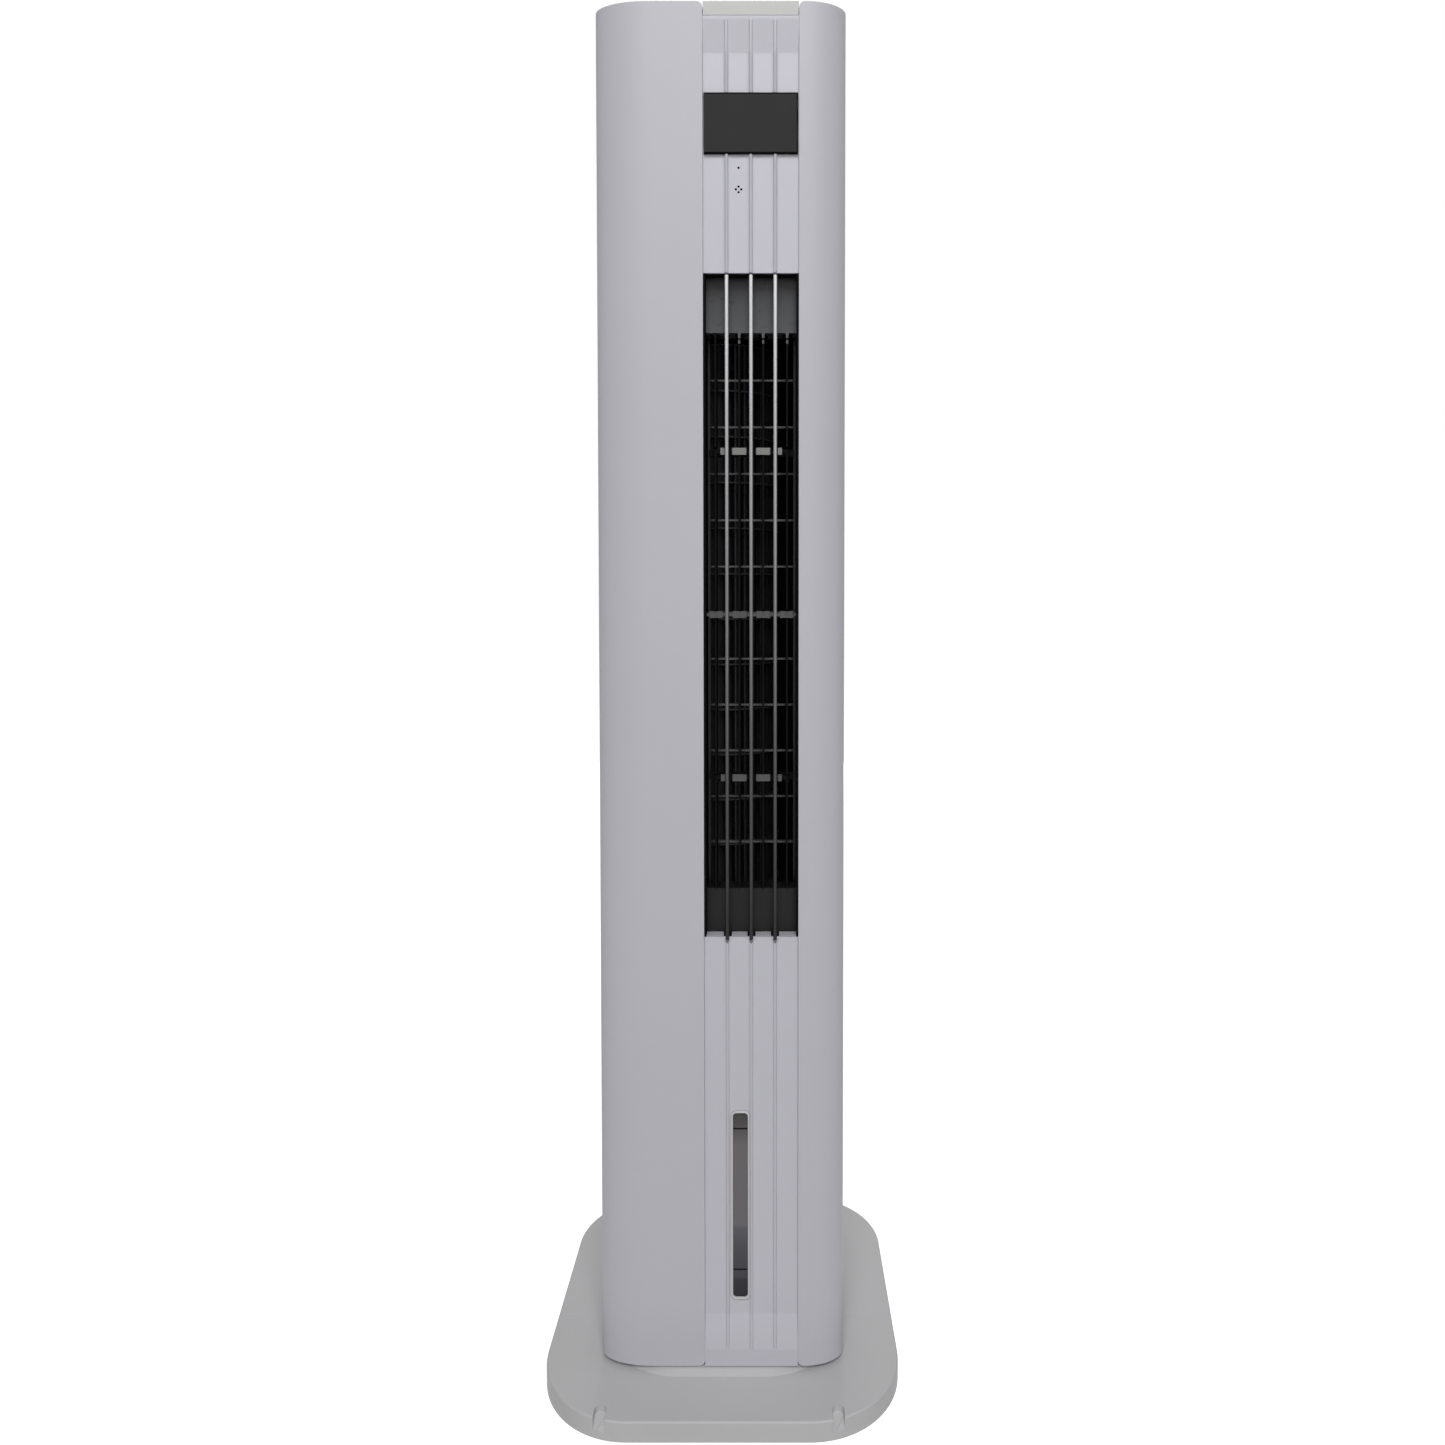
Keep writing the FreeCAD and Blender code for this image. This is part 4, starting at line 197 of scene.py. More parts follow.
GLOSS_VARY = 0.04           # how far a moulded plastic's roughness varies with its texture
# Moulded plastics under the names of their slots: material, colour as a hex code or a setting's name, roughness,
# size and relief of the texture in mm, how far the colour varies, size of its flow clouds in mm, IOR, metallic.
MOULDED = {
    # Acrylic lacquer with fine aluminium flake over ABS: satin silver with a faint violet cast.
    "panel_silver": ("silver_lacquer_on_abs", "panel_colour", 0.5, 1.2, 0.004, 0.012, 200, 1.27, 0.1),
    "strip_silver": ("silver_lacquer_on_strip", "strip_colour", 0.46, 1.2, 0.004, 0.012, 200, 1.4, 0.1),
    # Mass-coloured ABS with a fine moulded texture: plain satin grey.
    "base_silver": ("grey_abs_moulded", "base_colour", 0.55, 1.0, 0.006, 0.02, 120, 1.45),
    # Uncoated ABS: slightly warmer and lighter than the lacquer beside it.
    "cap_plastic": ("warm_grey_abs", "cap_colour", 0.48, 1.0, 0.006, 0.015, 120, 1.5),
    # Black ABS from a polished and a textured tool: soft gloss and dull; the lower duct cover's satin black is painted
    # shade.
    "louver_black": ("black_abs_polished", "141415", 0.5, 2.0, 0.003, 0.1, 40, 1.1),
    "duct_black": ("black_abs_textured", "141415", 0.6, 1.2, 0.02, 0.1, 40, 1.04),
    "lower_cover_painted_shade": ("black_abs_well", "19191A", 0.5, 1.2, 0.01, 0.1, 40, 1.3),
    # Grey ABS of the comb, and unpainted ABS inside.
    "guard_grey": ("grey_abs_guard", "565656", 0.4, 1.0, 0.01, 0.05, 20, 1.4),
    "inner_plastic": ("natural_abs_inner", "C9C8C2", 0.5, 1.5, 0.01, 0.03, 80, 1.53),
    # Glass-filled nylon: dull black with a fibrous skin.
    "wheel_black": ("black_glass_filled_nylon", "2A2A2B", 0.5, 0.8, 0.02, 0.1, 30, 1.4),
    # Acetal and polypropylene: waxy, with hardly any texture.
    "knob_plastic": ("grey_acetal", "9A9AA0", 0.36, 1.0, 0.006, 0.03, 30, 1.48),
    "pump_plastic": ("black_polypropylene", "2C2C2F", 0.45, 1.0, 0.01, 0.06, 30, 1.49),
    # Nitrile rubber: matt and slightly uneven.
    "rubber_black": ("black_nitrile_rubber", "232323", 0.75, 0.9, 0.03, 0.12, 20, 1.52),
}

# Finishes that follow a pattern: material, pattern, dark and light colour, and what else the shader gets.
PATTERNED = {
    # Black powder coat on sheet steel: fine orange peel about 1.5 mm across.
    "plate_steel": ("black_powder_coat_steel", lambda place: pattern(place, GRAIN, 1.5), "323234", "3C3C3E",
                    {"relief": 0.03, "Roughness": 0.45, "IOR": 1.5}),
    # Bright zinc plate on a screw: cool grey metal with faint yellow passivation clouds.
    "screw_steel": ("zinc_plated_steel", lambda place: pattern(place, GRAIN, 3, Detail=4), "A4A4A2", "C6C8CC",
                    {"gloss": (0.26, 0.42), "Metallic": 1.0, "Roughness": 0.32}),
    # Galvanised motor sheet: spangle patches about 6 mm across.
    "motor_steel": ("galvanised_sheet_steel", spangle, "8E9092", "B4B6B9",
                    {"gloss": (0.3, 0.46, 0, 1), "Metallic": 1.0, "Roughness": 0.4}),
    # Oil-filled sintered bronze: warm metal with open pores, drawn 0.8 mm across so that they show.
    "bearing_bronze": ("sintered_bronze", lambda place: pattern(place, CELLS, 0.8), "5E3F20", "B88A55",
                       {"reach": (0.05, 0.3), "relief": 0.05, "Metallic": 1.0, "Roughness": 0.38}),
    # Green solder resist over copper: tracks about 1.5 mm wide show as lighter lines.
    "board_green": ("solder_resist_board", tracks, "14502C", "2E7A46",
                    {"relief": 0.04, "Roughness": 0.3, "IOR": 1.52}),
    # Resin-stiffened kraft paper: brown fibres about 1.5 mm across, darkened as painted shade inside the tower.
    "pad_paper": ("fluted_kraft_paper", lambda place: pattern(place, GRAIN, 1.5, Detail=4), "33261A", "53402A",
                  {"relief": 0.1, "Roughness": 0.85, "IOR": 1.45}),
    # Woven nylon monofilament, threads drawn 2 mm apart so that the weave shows.
    "filter_mesh": ("woven_nylon_mesh", weave, "0E0E10", "3C3C40",
                    {"reach": (0.6, 0.95), "relief": 0.3, "Roughness": 0.6, "IOR": 1.53}),
    # Smoke-tinted SAN: hard clear plastic that darkens what lies behind it.
    "tank_smoke": ("smoked_san", lambda place: pattern(place, GRAIN, 50, Detail=3), "3F434A", "565B63",
                   {"gloss": (0.1, 0.22), "Roughness": 0.15, "IOR": 1.57, "Transmission_Weight": 0.35}),
    # Closed-cell foam, orange, with cells about 1 mm across.
    "float_foam": ("closed_cell_foam", lambda place: pattern(place, CELLS, 1), "C8481C", "E8743C",
                   {"relief": 0.15, "Roughness": 0.8, "IOR": 1.45}),
}


def finishes(look):
    """Every finish of the fan, under the slot or the name that its pieces and nodes ask for."""
    made = {}
    for slot, (name, tone, *values) in MOULDED.items():
        made[slot] = moulded(name, getattr(look, tone) if tone.endswith("_colour") else colour(tone), *values)
    # Grey ABS ribs whose ends at the outlet's sides are darkened to the duct's black as painted shade.
    ends_in_painted_shade = ((-9.4, "141415"), (-9.0, "565656"), (60.7, "565656"), (61.1, "141415"))
    made["guard_ribs"] = faded("grey_abs_ribs", ends_in_painted_shade, "X", 1, 1, (0.36, 0.44), 0.01, IOR=1.4)
    # Natural acetal clips that stand in deeper shade towards the foot of the outlet.
    shadow = ((531, "48484A"), (811, "828280"))
    made["link_grey"] = faded("natural_acetal", shadow, "Z", 2, 3, (0.35, 0.5), 0.01, IOR=1.48)
    # Clear acrylic over dark water, with the tank's shadow behind it as painted shade: deeper towards the foot.
    water_and_painted_shade = ((82, "1E1E26"), (95, "2A2A33"), (98, "404046"), (124, "4C4C52"), (141, "5E5D62"), (144, "6C6A6E"),
             (214, "6E6A6C"), (228, "565355"), (241, "424042"))
    made["window_clear"] = faded("clear_acrylic_window", water_and_painted_shade, "Z", 6, 4, (0.08, 0.16), IOR=1.3)
    made.update(shroud_grey=shroud_abs(), bar_metallic=bar_lacquer_painted_shade())
    # Smoked acrylic over a dark film: mirror-smooth, with faint wipe marks about 18 mm long.
    film = (shade(look.display_colour, 0.8), shade(look.display_colour, 1.2))
    made["display_gloss"] = patterned("smoked_acrylic_display", lambda place: pattern(place, GRAIN, 18, Detail=4),
                                      *film, gloss=(0.05, 0.1), IOR=1.46)
    for slot, (name, source, dark, light, settings) in PATTERNED.items():
        made[slot] = patterned(name, source, colour(dark), colour(light), **settings)
    return made


def moulded(name, tone, roughness, texture, relief, vary, flow, ior, metallic=0.0):
    """Injection-moulded plastic: spark-eroded texture of a size in mm, and faint flow clouds."""
    material, shader, place = start_material(name, Roughness=roughness, IOR=ior, Metallic=metallic)
    tinted(shader, spread(pattern(place, GRAIN, flow, Detail=3), 0, 1), shade(tone, 1 - vary), shade(tone, 1 + vary))
    skin = pattern(place, GRAIN, texture, Detail=1)
    raised(shader, skin, relief)
    roughened(shader, skin, roughness - GLOSS_VARY, roughness + GLOSS_VARY)
    return material


def faded(name, stops, axis, size, detail, gloss, relief=0.0, **sockets):
    """Plastic whose colour follows an axis, with wear of a size in mm in its gloss and its relief."""
    material, shader, place = start_material(name, **sockets)
    feed(shader, "Base Color", graded(place, stops, axis))
    wear = pattern(place, GRAIN, size, Detail=detail)
    roughened(shader, wear, *gloss)
    if relief:
        raised(shader, wear, relief)
    return material


def bar_lacquer_painted_shade():
    """Satin metallic lacquer with painted light and shade: pale silver at the head of a bar, graphite at its foot."""
    material, shader, place = start_material("fading_metallic_lacquer", Metallic=0.35, IOR=1.45)
    # Painted highlight towards the head and painted shade towards the foot, as light falls from above.
    bar_painted_light_and_shade = graded(place, ((410, "1B1B1D"), (560, "48484A"), (700, "747476"), (820, "A2A2A4"), (950, "D8D8DA")))
    flake = pattern(place, GRAIN, 0.8, Detail=1)
    sparkle = spread(flake, 0.92, 1.08, 0, 1)
    grey = add(place.id_data, "ShaderNodeCombineColor", links={channel: sparkle for channel in range(3)})
    settings = {"data_type": "RGBA", "blend_type": "MULTIPLY", 0: 1.0}
    mix = add(place.id_data, "ShaderNodeMix", settings, {6: bar_painted_light_and_shade, 7: grey.outputs[0]})
    feed(shader, "Base Color", mix.outputs[2])
    roughened(shader, flake, 0.3, 0.4)
    raised(shader, flake, 0.002)
    return material


def shroud_abs():
    """Graphite ABS with a soft gloss, and painted shade that deepens towards the outlet's upper edge."""
    material, shader, place = start_material("graphite_abs", IOR=1.38)
    # Painted shade: lighter at the foot, darker towards the outlet's upper edge.
    upper_edge_painted_shade = ((912, "505154"), (930, "444548"), (946, "343437"), (958, "202022"))
    feed(shader, "Base Color", graded(place, upper_edge_painted_shade))
    roughened(shader, pattern(place, GRAIN, 9, Detail=4), 0.24, 0.42)
    raised(shader, pattern(place, GRAIN, 1.2, Detail=1), 0.004)
    return material


def patterned(name, source, dark, light, reach=None, gloss=(), relief=0.0, **sockets):
    """A finish whose colour runs between two linear colours along a pattern, and maybe its gloss and relief too."""
    material, shader, place = start_material(name, **sockets)
    marks = source(place)
    tinted(shader, spread(marks, 0, 1, *reach) if reach else marks, dark, light)
    if gloss:
        roughened(shader, marks, *gloss)
    if relief:
        raised(shader, marks, relief)
    return material


# ---------------------------------------------------------------- modelling tools

def deselect():
    """Nothing selected, in object mode."""
    if bpy.context.object and bpy.context.object.mode != "OBJECT":
        leave_edit()
    bpy.ops.object.select_all(action="DESELECT")


def activate(piece):
    """Only this piece selected and active."""
    deselect()
    piece.select_set(True)
    bpy.context.view_layer.objects.active = piece


def named(name):
    """Name the active piece, and put its place, turn and scale into its mesh."""
    piece = bpy.context.object
    piece.name = name
    piece.data.name = name
    activate(piece)
    bpy.ops.object.transform_apply(location=True, rotation=True, scale=True)
    return piece


def block(name, low, high):
    """A cube between two corners, ready for shaping."""
    deselect()
    low, high = Vector(low), Vector(high)
    bpy.ops.mesh.primitive_cube_add(size=1, location=(low + high) / 2, scale=high - low)
    return named(name)


def rod(name, middle, radius, length, sides):
    """A cylinder about a middle point, along the fan's depth."""
    deselect()
    turn = Z.rotation_difference(Y).to_euler()
    bpy.ops.mesh.primitive_cylinder_add(vertices=sides, radius=radius, depth=length, location=middle, rotation=turn)
    return named(name)


def copy_of(source, name):
    """A new piece with its own copy of another's mesh."""
    piece = bpy.data.objects.new(name, source.data.copy())
    bpy.context.scene.collection.objects.link(piece)
    return piece


def open_all(piece):
    """Enter edit mode with the whole piece selected."""
    activate(piece)
    bpy.ops.object.mode_set(mode="EDIT")
    bpy.ops.mesh.select_all(action="SELECT")


def choose(piece, kind, test):
    """Enter edit mode with only the faces, edges or points selected that pass the test.

    The test gets a face's middle and normal, an edge's two ends or a point."""
    activate(piece)
    bpy.ops.object.mode_set(mode="EDIT")
    bpy.ops.mesh.select_mode(type=kind)
    bpy.ops.mesh.select_all(action="DESELECT")
    leave_edit()
    points = piece.data.vertices
    if kind == "FACE":
        for face in piece.data.polygons:
            face.select = bool(test(face.center, face.normal))
    elif kind == "EDGE":
        for edge in piece.data.edges:
            edge.select = bool(test(*(points[index].co for index in edge.vertices)))
    else:
        for point in points:
            point.select = bool(test(point.co))
    bpy.ops.object.mode_set(mode="EDIT")


def leave_edit():
    """Back to object mode."""
    bpy.ops.object.mode_set(mode="OBJECT")


def near(a, b):
    """Two lengths are the same, but for rounding."""
    return abs(a - b) < SAME


def along(axis, *tests):
    """An edge test: the edge lies along one axis, and it is near the given places on others."""
    def test(start, end):
        line = end - start
        others = [abs(line[i]) for i in range(3) if i != axis]
        if abs(line[axis]) < MERGE or max(others) > MERGE:
            return False
        return all(any(near(start[i], place) for place in places) for i, places in tests)
    return test


def level(z):
    """An edge test: the edge lies at a height."""
    return lambda start, end: near(start.z, z) and near(end.z, z)


def slice_at(piece, axis, places):
    """Cut new edges across the piece at places on an axis."""
    for place in places:
        open_all(piece)
        bpy.ops.mesh.bisect(plane_co=axis * place, plane_no=axis)
        leave_edit()


def shift_points(piece, test, move):
    """Move the points that pass the test."""
    choose(piece, "VERT", test)
    bpy.ops.transform.translate(value=move)
    leave_edit()


def stretch(piece, test, share, centre):
    """Widen or narrow the piece about a centre at the points that pass the test."""
    choose(piece, "VERT", test)
    bpy.ops.transform.resize(value=share, center_override=centre)
    leave_edit()


def field(piece, border, push=0.0, facing=-Y):
    """Inset a field in the faces that look one way, by the border's width, and push it out by a length."""
    choose(piece, "FACE", lambda middle, normal: normal.dot(facing) > FACING)
    bpy.ops.mesh.inset(thickness=border)
    if push:
        bpy.ops.transform.translate(value=facing * push)
    leave_edit()


def round_edges(piece, test, radius, segments):
    """Round the edges that pass the test to a radius."""
    choose(piece, "EDGE", test)
    bpy.ops.mesh.bevel(offset=radius, segments=segments, affect="EDGES")
    leave_edit()


def remove_faces(piece, test):
    """Open the piece where faces pass the test."""
    choose(piece, "FACE", test)
    bpy.ops.mesh.delete(type="FACE")
    leave_edit()


def apply(piece, kind, **settings):
    """Add a modifier with its settings and apply it."""
    activate(piece)
    modifier = piece.modifiers.new(kind.title(), kind)
    for key, value in settings.items():
        setattr(modifier, key, value)
    bpy.ops.object.modifier_apply(modifier=modifier.name)


def thicken(piece, wall):
    """Give an open shell a wall of even thickness on its inner side."""
    apply(piece, "SOLIDIFY", thickness=wall, offset=-1, use_even_offset=True)


def soften(piece, width, segments=2, angle=35, crease=32):
    """Round the sharp edges by a width, and smooth the shading up to a crease angle in degrees."""
    apply(piece, "BEVEL", width=width, segments=segments, limit_method="ANGLE", angle_limit=math.radians(angle),
          miter_outer="MITER_ARC", use_clamp_overlap=True)
    smooth(piece, crease)


def smooth(piece, angle=32):
    """Smooth shading, with edges sharper than the angle kept."""
    activate(piece)
    bpy.ops.object.shade_smooth_by_angle(angle=math.radians(angle))
    apply(piece, "WEIGHTED_NORMAL", keep_sharp=True)


def outward(piece, outer):
    """Merge an open shell's doubles, and turn its outermost face, and so all of them, away from the middle."""
    open_all(piece)
    bpy.ops.mesh.remove_doubles(threshold=MERGE)
    bpy.ops.mesh.normals_make_consistent(inside=False)
    leave_edit()
    face = min(piece.data.polygons, key=lambda item: abs(item.center.x - outer))
    if face.normal.x * outer < 0:
        open_all(piece)
        bpy.ops.mesh.flip_normals()
        leave_edit()


def drawn_from(node, name):
    """A merged copy of a CAD node's mesh, with its flat faces made whole, to shape further."""
    piece = copy_of(frame["nodes"][node], name)
    piece.data.name = name
    open_all(piece)
    bpy.ops.mesh.remove_doubles(threshold=MERGE)
    bpy.ops.mesh.dissolve_limited(angle_limit=FLAT)
    leave_edit()
    return piece


def take(piece, *others):
    """Join other pieces into one."""
    activate(piece)
    for other in others:
        other.select_set(True)
    bpy.ops.object.join()
    return piece


def combine(piece, operation, other):
    """Unite, intersect or cut the piece with another solid, and remove that one."""
    apply(piece, "BOOLEAN", operation=operation, object=other, solver="EXACT")
    bpy.data.objects.remove(other)


def carve(piece, tool):
    """Cut a tool's shape out of a piece."""
    combine(piece, "DIFFERENCE", tool)


def finish(piece, body, slot, *nodes):
    """The piece rides on a body, wears a finish of a slot's name and stands for CAD nodes."""
    if not piece.data.materials:
        piece.data.materials.append(None)
    piece.data.materials[0] = bpy.data.materials[FINISH_NAMES[slot]]
    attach(piece, body)
    if nodes:
        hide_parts(*nodes)


def stand_for(piece, node):
    """The piece takes a CAD node's place, body and finish."""
    finish(piece, BODIES[node], SLOTS[node], node)


def middle_x(node):
    """The middle of a node across the fan."""
    return sum(corner.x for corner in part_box(node)) / 2


def strip_face(look):
    """The depth at which the sunk front strip's flat face stands."""
    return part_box("center_fascia")[0].y + look.strip_sink


# The names of the materials that were made, under their slots.
FINISH_NAMES = {}
# Nodes that wear another finish than their slot names; the lower duct cover's near-black is painted shade.
OTHER_FINISH = {"lower_duct_cover": "lower_cover_painted_shade", "safety_grille": "guard_ribs", "louver_comb": "guard_grey",
                "scroll_volute": "duct_black", "scroll_base": "duct_black", "scroll_top": "duct_black"}


# ---------------------------------------------------------------- settings

def paint(name, text, code):
    """A setting that is a colour, given as a hex code."""
    return FloatVectorProperty(name=name, description=text, subtype="COLOR", default=colour(code)[:3], min=0, max=1)


def length(name, text, size):
    """A setting that is a length, given in millimetres."""
    return FloatProperty(name=name, description=text, default=size * MM, unit="LENGTH")


class TowerFanSettings(PropertyGroup):
    """Sizes and colours that a user may change."""
    panel_colour: paint("Panels", "Lacquer of the side panels", "C3C2C9")
    strip_colour: paint("Front strip", "Lacquer of the front strip", "C5C4CC")
    base_colour: paint("Base", "Colour of the base cover", "C2C2C3")
    cap_colour: paint("Cap", "Colour of the lid", "CDCDCB")
    display_colour: paint("Display", "Colour of the dark display", "0E0E0E")
    edge_round: length("Edge round", "Round of the outer panels' edges", 0.4)
    small_round: length("Small round", "Round of small parts' edges", 0.3)
    wall: length("Wall", "Thickness of the moulded walls", 2.5)
    corner_left: length("Left corner", "Width of the left front corner's oval", 46)
    corner_right: length("Right corner", "Width of the right front corner's oval", 36)
    corner_depth: length("Corner depth", "Depth of the front corners' ovals", 21)
    panel_round: length("Panel corner", "Radius of a panel's corners beside the strip", 5)
    strip_sink: length("Strip depth", "Depth of the strip behind the panels", 3.5)
    band_foot: length("Foot band", "Height of the flush band at the foot", 14)
    ramp_edge: length("Ramp edge", "Width over which a strip ramp turns into the flat", 1.5)
    ramp_foot: length("Foot ramp", "Height of the ramp above it", 31)
    band_head: length("Head band", "Height of the flush band at the head", 14)
    ramp_head: length("Head ramp", "Height of the ramp below it", 27.5)
    groove_width: length("Sill notch", "Width of a notch under a bar", 7)
    groove_depth: length("Sill notch depth", "Depth of a notch under a bar", 2)
    groove_point: length("Sill notch point", "Length of a notch's point", 3)
    sensor_x: length("Sensor place", "Place of the sensor holes across the fan", 15.5)
    sensor_radius: length("Sensor hole", "Radius of a sensor hole", 1)
    receiver_drop: length("Receiver drop", "Receiver hole below the display", 10.8)
    thermo_drop: length("Room sensor drop", "Room sensor holes below the display", 28.6)
    thermo_spread: length("Room sensor spread", "Holes' distance from their middle", 2.3)
    display_border: length("Display border", "Width of the border round the display", 1.2)
    clip_width: length("Clip width", "Width of a link's clip at a louver", 12.2)
    clip_height: length("Clip height", "Height of a link's clips", 6)
    clip_thick: length("Clip thickness", "Thickness of a link's clips", 1.6)
    clip_gap: length("Clip gap", "From a clip to the outer end of the next one", 10)
    clip_end: length("End clip", "Width of a link's end clips", 3.7)
    bar_width: length("Bar width", "Width of an outlet bar", 3.1)
    bar_gap: length("Bar gap", "Dark gap between a bar's head and the outlet's edge", 2.2)
    bar_taper: FloatProperty(name="Bar taper", description="A bar's back edge as a share of its width", default=0.7)
    window_flange: length("Window flange", "The lens's hidden edge", 2)
    window_round: length("Window corner", "Radius of the window's corners", 3)
    rim_width: length("Window rim", "Width of the pale rim round the window", 1.7)
    rim_proud: length("Rim height", "Height of the window's rim above the strip", 0.7)
    rim_groove: length("Rim groove", "Width of the groove round the window's rim", 1)
    level_full: length("Full mark", "Height of the upper level mark", 228.5)
    level_low: length("Low mark", "Height of the lower level mark", 104.5)
    mark_height: length("Mark height", "Height of a level mark", 1.1)
    grille_border: length("Grille border", "Solid edge of the intake grille", 14)
    grille_pitch: length("Grille pitch", "Pitch of the grille's rows", 12)
    grille_slot: length("Grille slot", "Height of a slot", 7)
    grille_post: length("Grille post", "Width of the posts between the slots", 6)
    slot_round: length("Slot round", "Radius of a slot's corners", 1.5)
    post_drop: length("Outlet post", "Depth of the outlet's black side posts behind the strip", 0.3)
    cap_half: length("Comb cap", "Half the width of a comb clip's cap", 5.6)
    tab_width: length("Blade tab", "Width of the tab at a blade's head", 2.8)
    tab_height: length("Tab height", "Height of that tab", 4.6)
    tab_gap: length("Tab gap", "Gap between tab and shroud", 0.8)
    flute_count: IntProperty(name="Knob flutes", description="Flutes round the latch knob", default=18, min=6)
    flute_size: length("Flute size", "Radius of a flute", 1)
    flute_drop: length("Flute drop", "Flutes' middle below the knob's grip", 8.6)
    recess_length: length("Recess length", "Length of a screw's cross", 4.2)
    recess_width: length("Recess width", "Width of a screw's cross", 0.9)
    recess_depth: length("Recess depth", "Depth of a screw's cross", 1.1)
    pad_flute: length("Pad flute", "Half the pitch of the pad's flutes", 3.5)
    pad_depth: length("Pad depth", "Depth of the pad's flutes", 2)
    base_corner: length("Base corner", "Radius of the base's corners", 80)
    base_edge: length("Base edge", "Round of the base's upper rim", 1.6)
    ramp_margin: length("Ramp margin", "Reach of the ramp beyond the tower", 8)
    ramp_rise: length("Ramp rise", "Height of the ramp", 3.4)
    ramp_run: length("Ramp run", "Length of the ramp's slope", 9)
    ramp_round_front: length("Ramp front corner", "Radius of the ramp's front corners", 78)
    ramp_round_back: length("Ramp back corner", "Radius of the ramp's back corners", 66)
    scoop_x: length("Notch place", "Notches' distance from the middle", 98)
    scoop_radius: length("Notch radius", "Half the width of a notch", 5)
    scoop_depth: length("Notch depth", "Reach of a notch into the rim", 18)
    scoop_floor: length("Notch floor", "Height of a notch's floor at the rim", 5)
    scoop_slope: length("Notch slope", "Rise of a notch's floor", 7)


# ---------------------------------------------------------------- operators

class TOWERFAN_OT_finishes(Operator):
    """Make every finish and give each CAD node the one that its slot names."""
    bl_idname = "towerfan.finishes"
    bl_label = "Finishes"

    def execute(self, context):
        made = finishes(context.scene.tower_fan)
        FINISH_NAMES.update({slot: material.name for slot, material in made.items()})
        for node, slot in SLOTS.items():
            for holder in frame["nodes"][node].material_slots:
                holder.material = made[OTHER_FINISH.get(node, slot)]
        return {"FINISHED"}


LIMIT_REACH = 0.1           # of the block that a panel keeps to, past its outer side, as a share of its width


class TOWERFAN_OT_side_panels(Operator):
    """The two wrap-round panels: front, oval corner, side and the lip along the strip."""
    bl_idname = "towerfan.side_panels"
    bl_label = "Side panels"

    def execute(self, context):
        look = context.scene.tower_fan
        for side, corner in (("left", look.corner_left), ("right", look.corner_right)):
            self.panel(look, side, corner)
        return {"FINISHED"}

    def panel(self, look, side, corner):
        """One panel: its corner is rounded while the block is squeezed, so that it comes out oval."""
        node = f"{side}_side_panel"
        low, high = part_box(node)
        high.y = REAR[0].y - SEAM
        outer, inner = (low.x, high.x) if side == "left" else (high.x, low.x)
        squeeze = look.corner_depth / corner
        close = outer + (inner - outer) * squeeze
        piece = block(f"{side}_panel", (min(outer, close), low.y, low.z), (max(outer, close), high.y, high.z))
        round_edges(piece, along(2, (0, [outer]), (1, [low.y])), look.corner_depth, 32)
        unseen = lambda middle, normal: abs(normal.z) > FACING or normal.y > FACING or near(middle.x, close)
        remove_faces(piece, unseen)
        stretch(piece, lambda point: True, (1 / squeeze, 1, 1), (outer, 0, 0))
        choose(piece, "EDGE", along(2, (0, [inner]), (1, [low.y])))
        bpy.ops.mesh.extrude_edges_move(TRANSFORM_OT_translate={"value": (0, look.strip_sink + look.wall, 0)})
        leave_edit()
        outward(piece, outer)
        thicken(piece, look.wall)
        # The block that the panel keeps to stops at its inner rim, and reaches past its outer side.
        rim = inner + math.copysign(CLEAR, outer - inner)
        reach = sorted([rim, outer + (outer - inner) * LIMIT_REACH])
        limit = block("panel_limit", (reach[0], low.y - MM, low.z + CLEAR), (reach[1], high.y + MM, high.z - CLEAR))
        round_edges(limit, along(1, (0, [rim])), look.panel_round, 8)
        combine(piece, "INTERSECT", limit)
        soften(piece, look.edge_round)
        finish(piece, "casing", "panel_silver", node)


# Half section of a rib: distance from its middle and height above the strip.
RIB_SHAPE = ((4.2 * MM, 0.0), (2.4 * MM, 0.12 * MM), (1.5 * MM, 0.5 * MM), (0.95 * MM, 2.0 * MM), (0.0, 2.4 * MM))
POINT_TIP = 0.02            # what is left of a sill notch's width at its point
GROOVE_DEPTH = 0.6          # of the groove round the window's rim, as a share of its width
SENSOR_BORE = 12 * MM
LINING_SHARE = 0.96         # the lining's wall, as a share of the others', so that their outer faces don't meet
SILL_LAP = 0.1 * MM         # reach of the sill's front edge into the strip
SILL_RISE = 0.2 * MM        # height of the sill above the outlet's floor
SILL_BORDER = 0.4 * MM
SILL_CROWN = 0.1 * MM


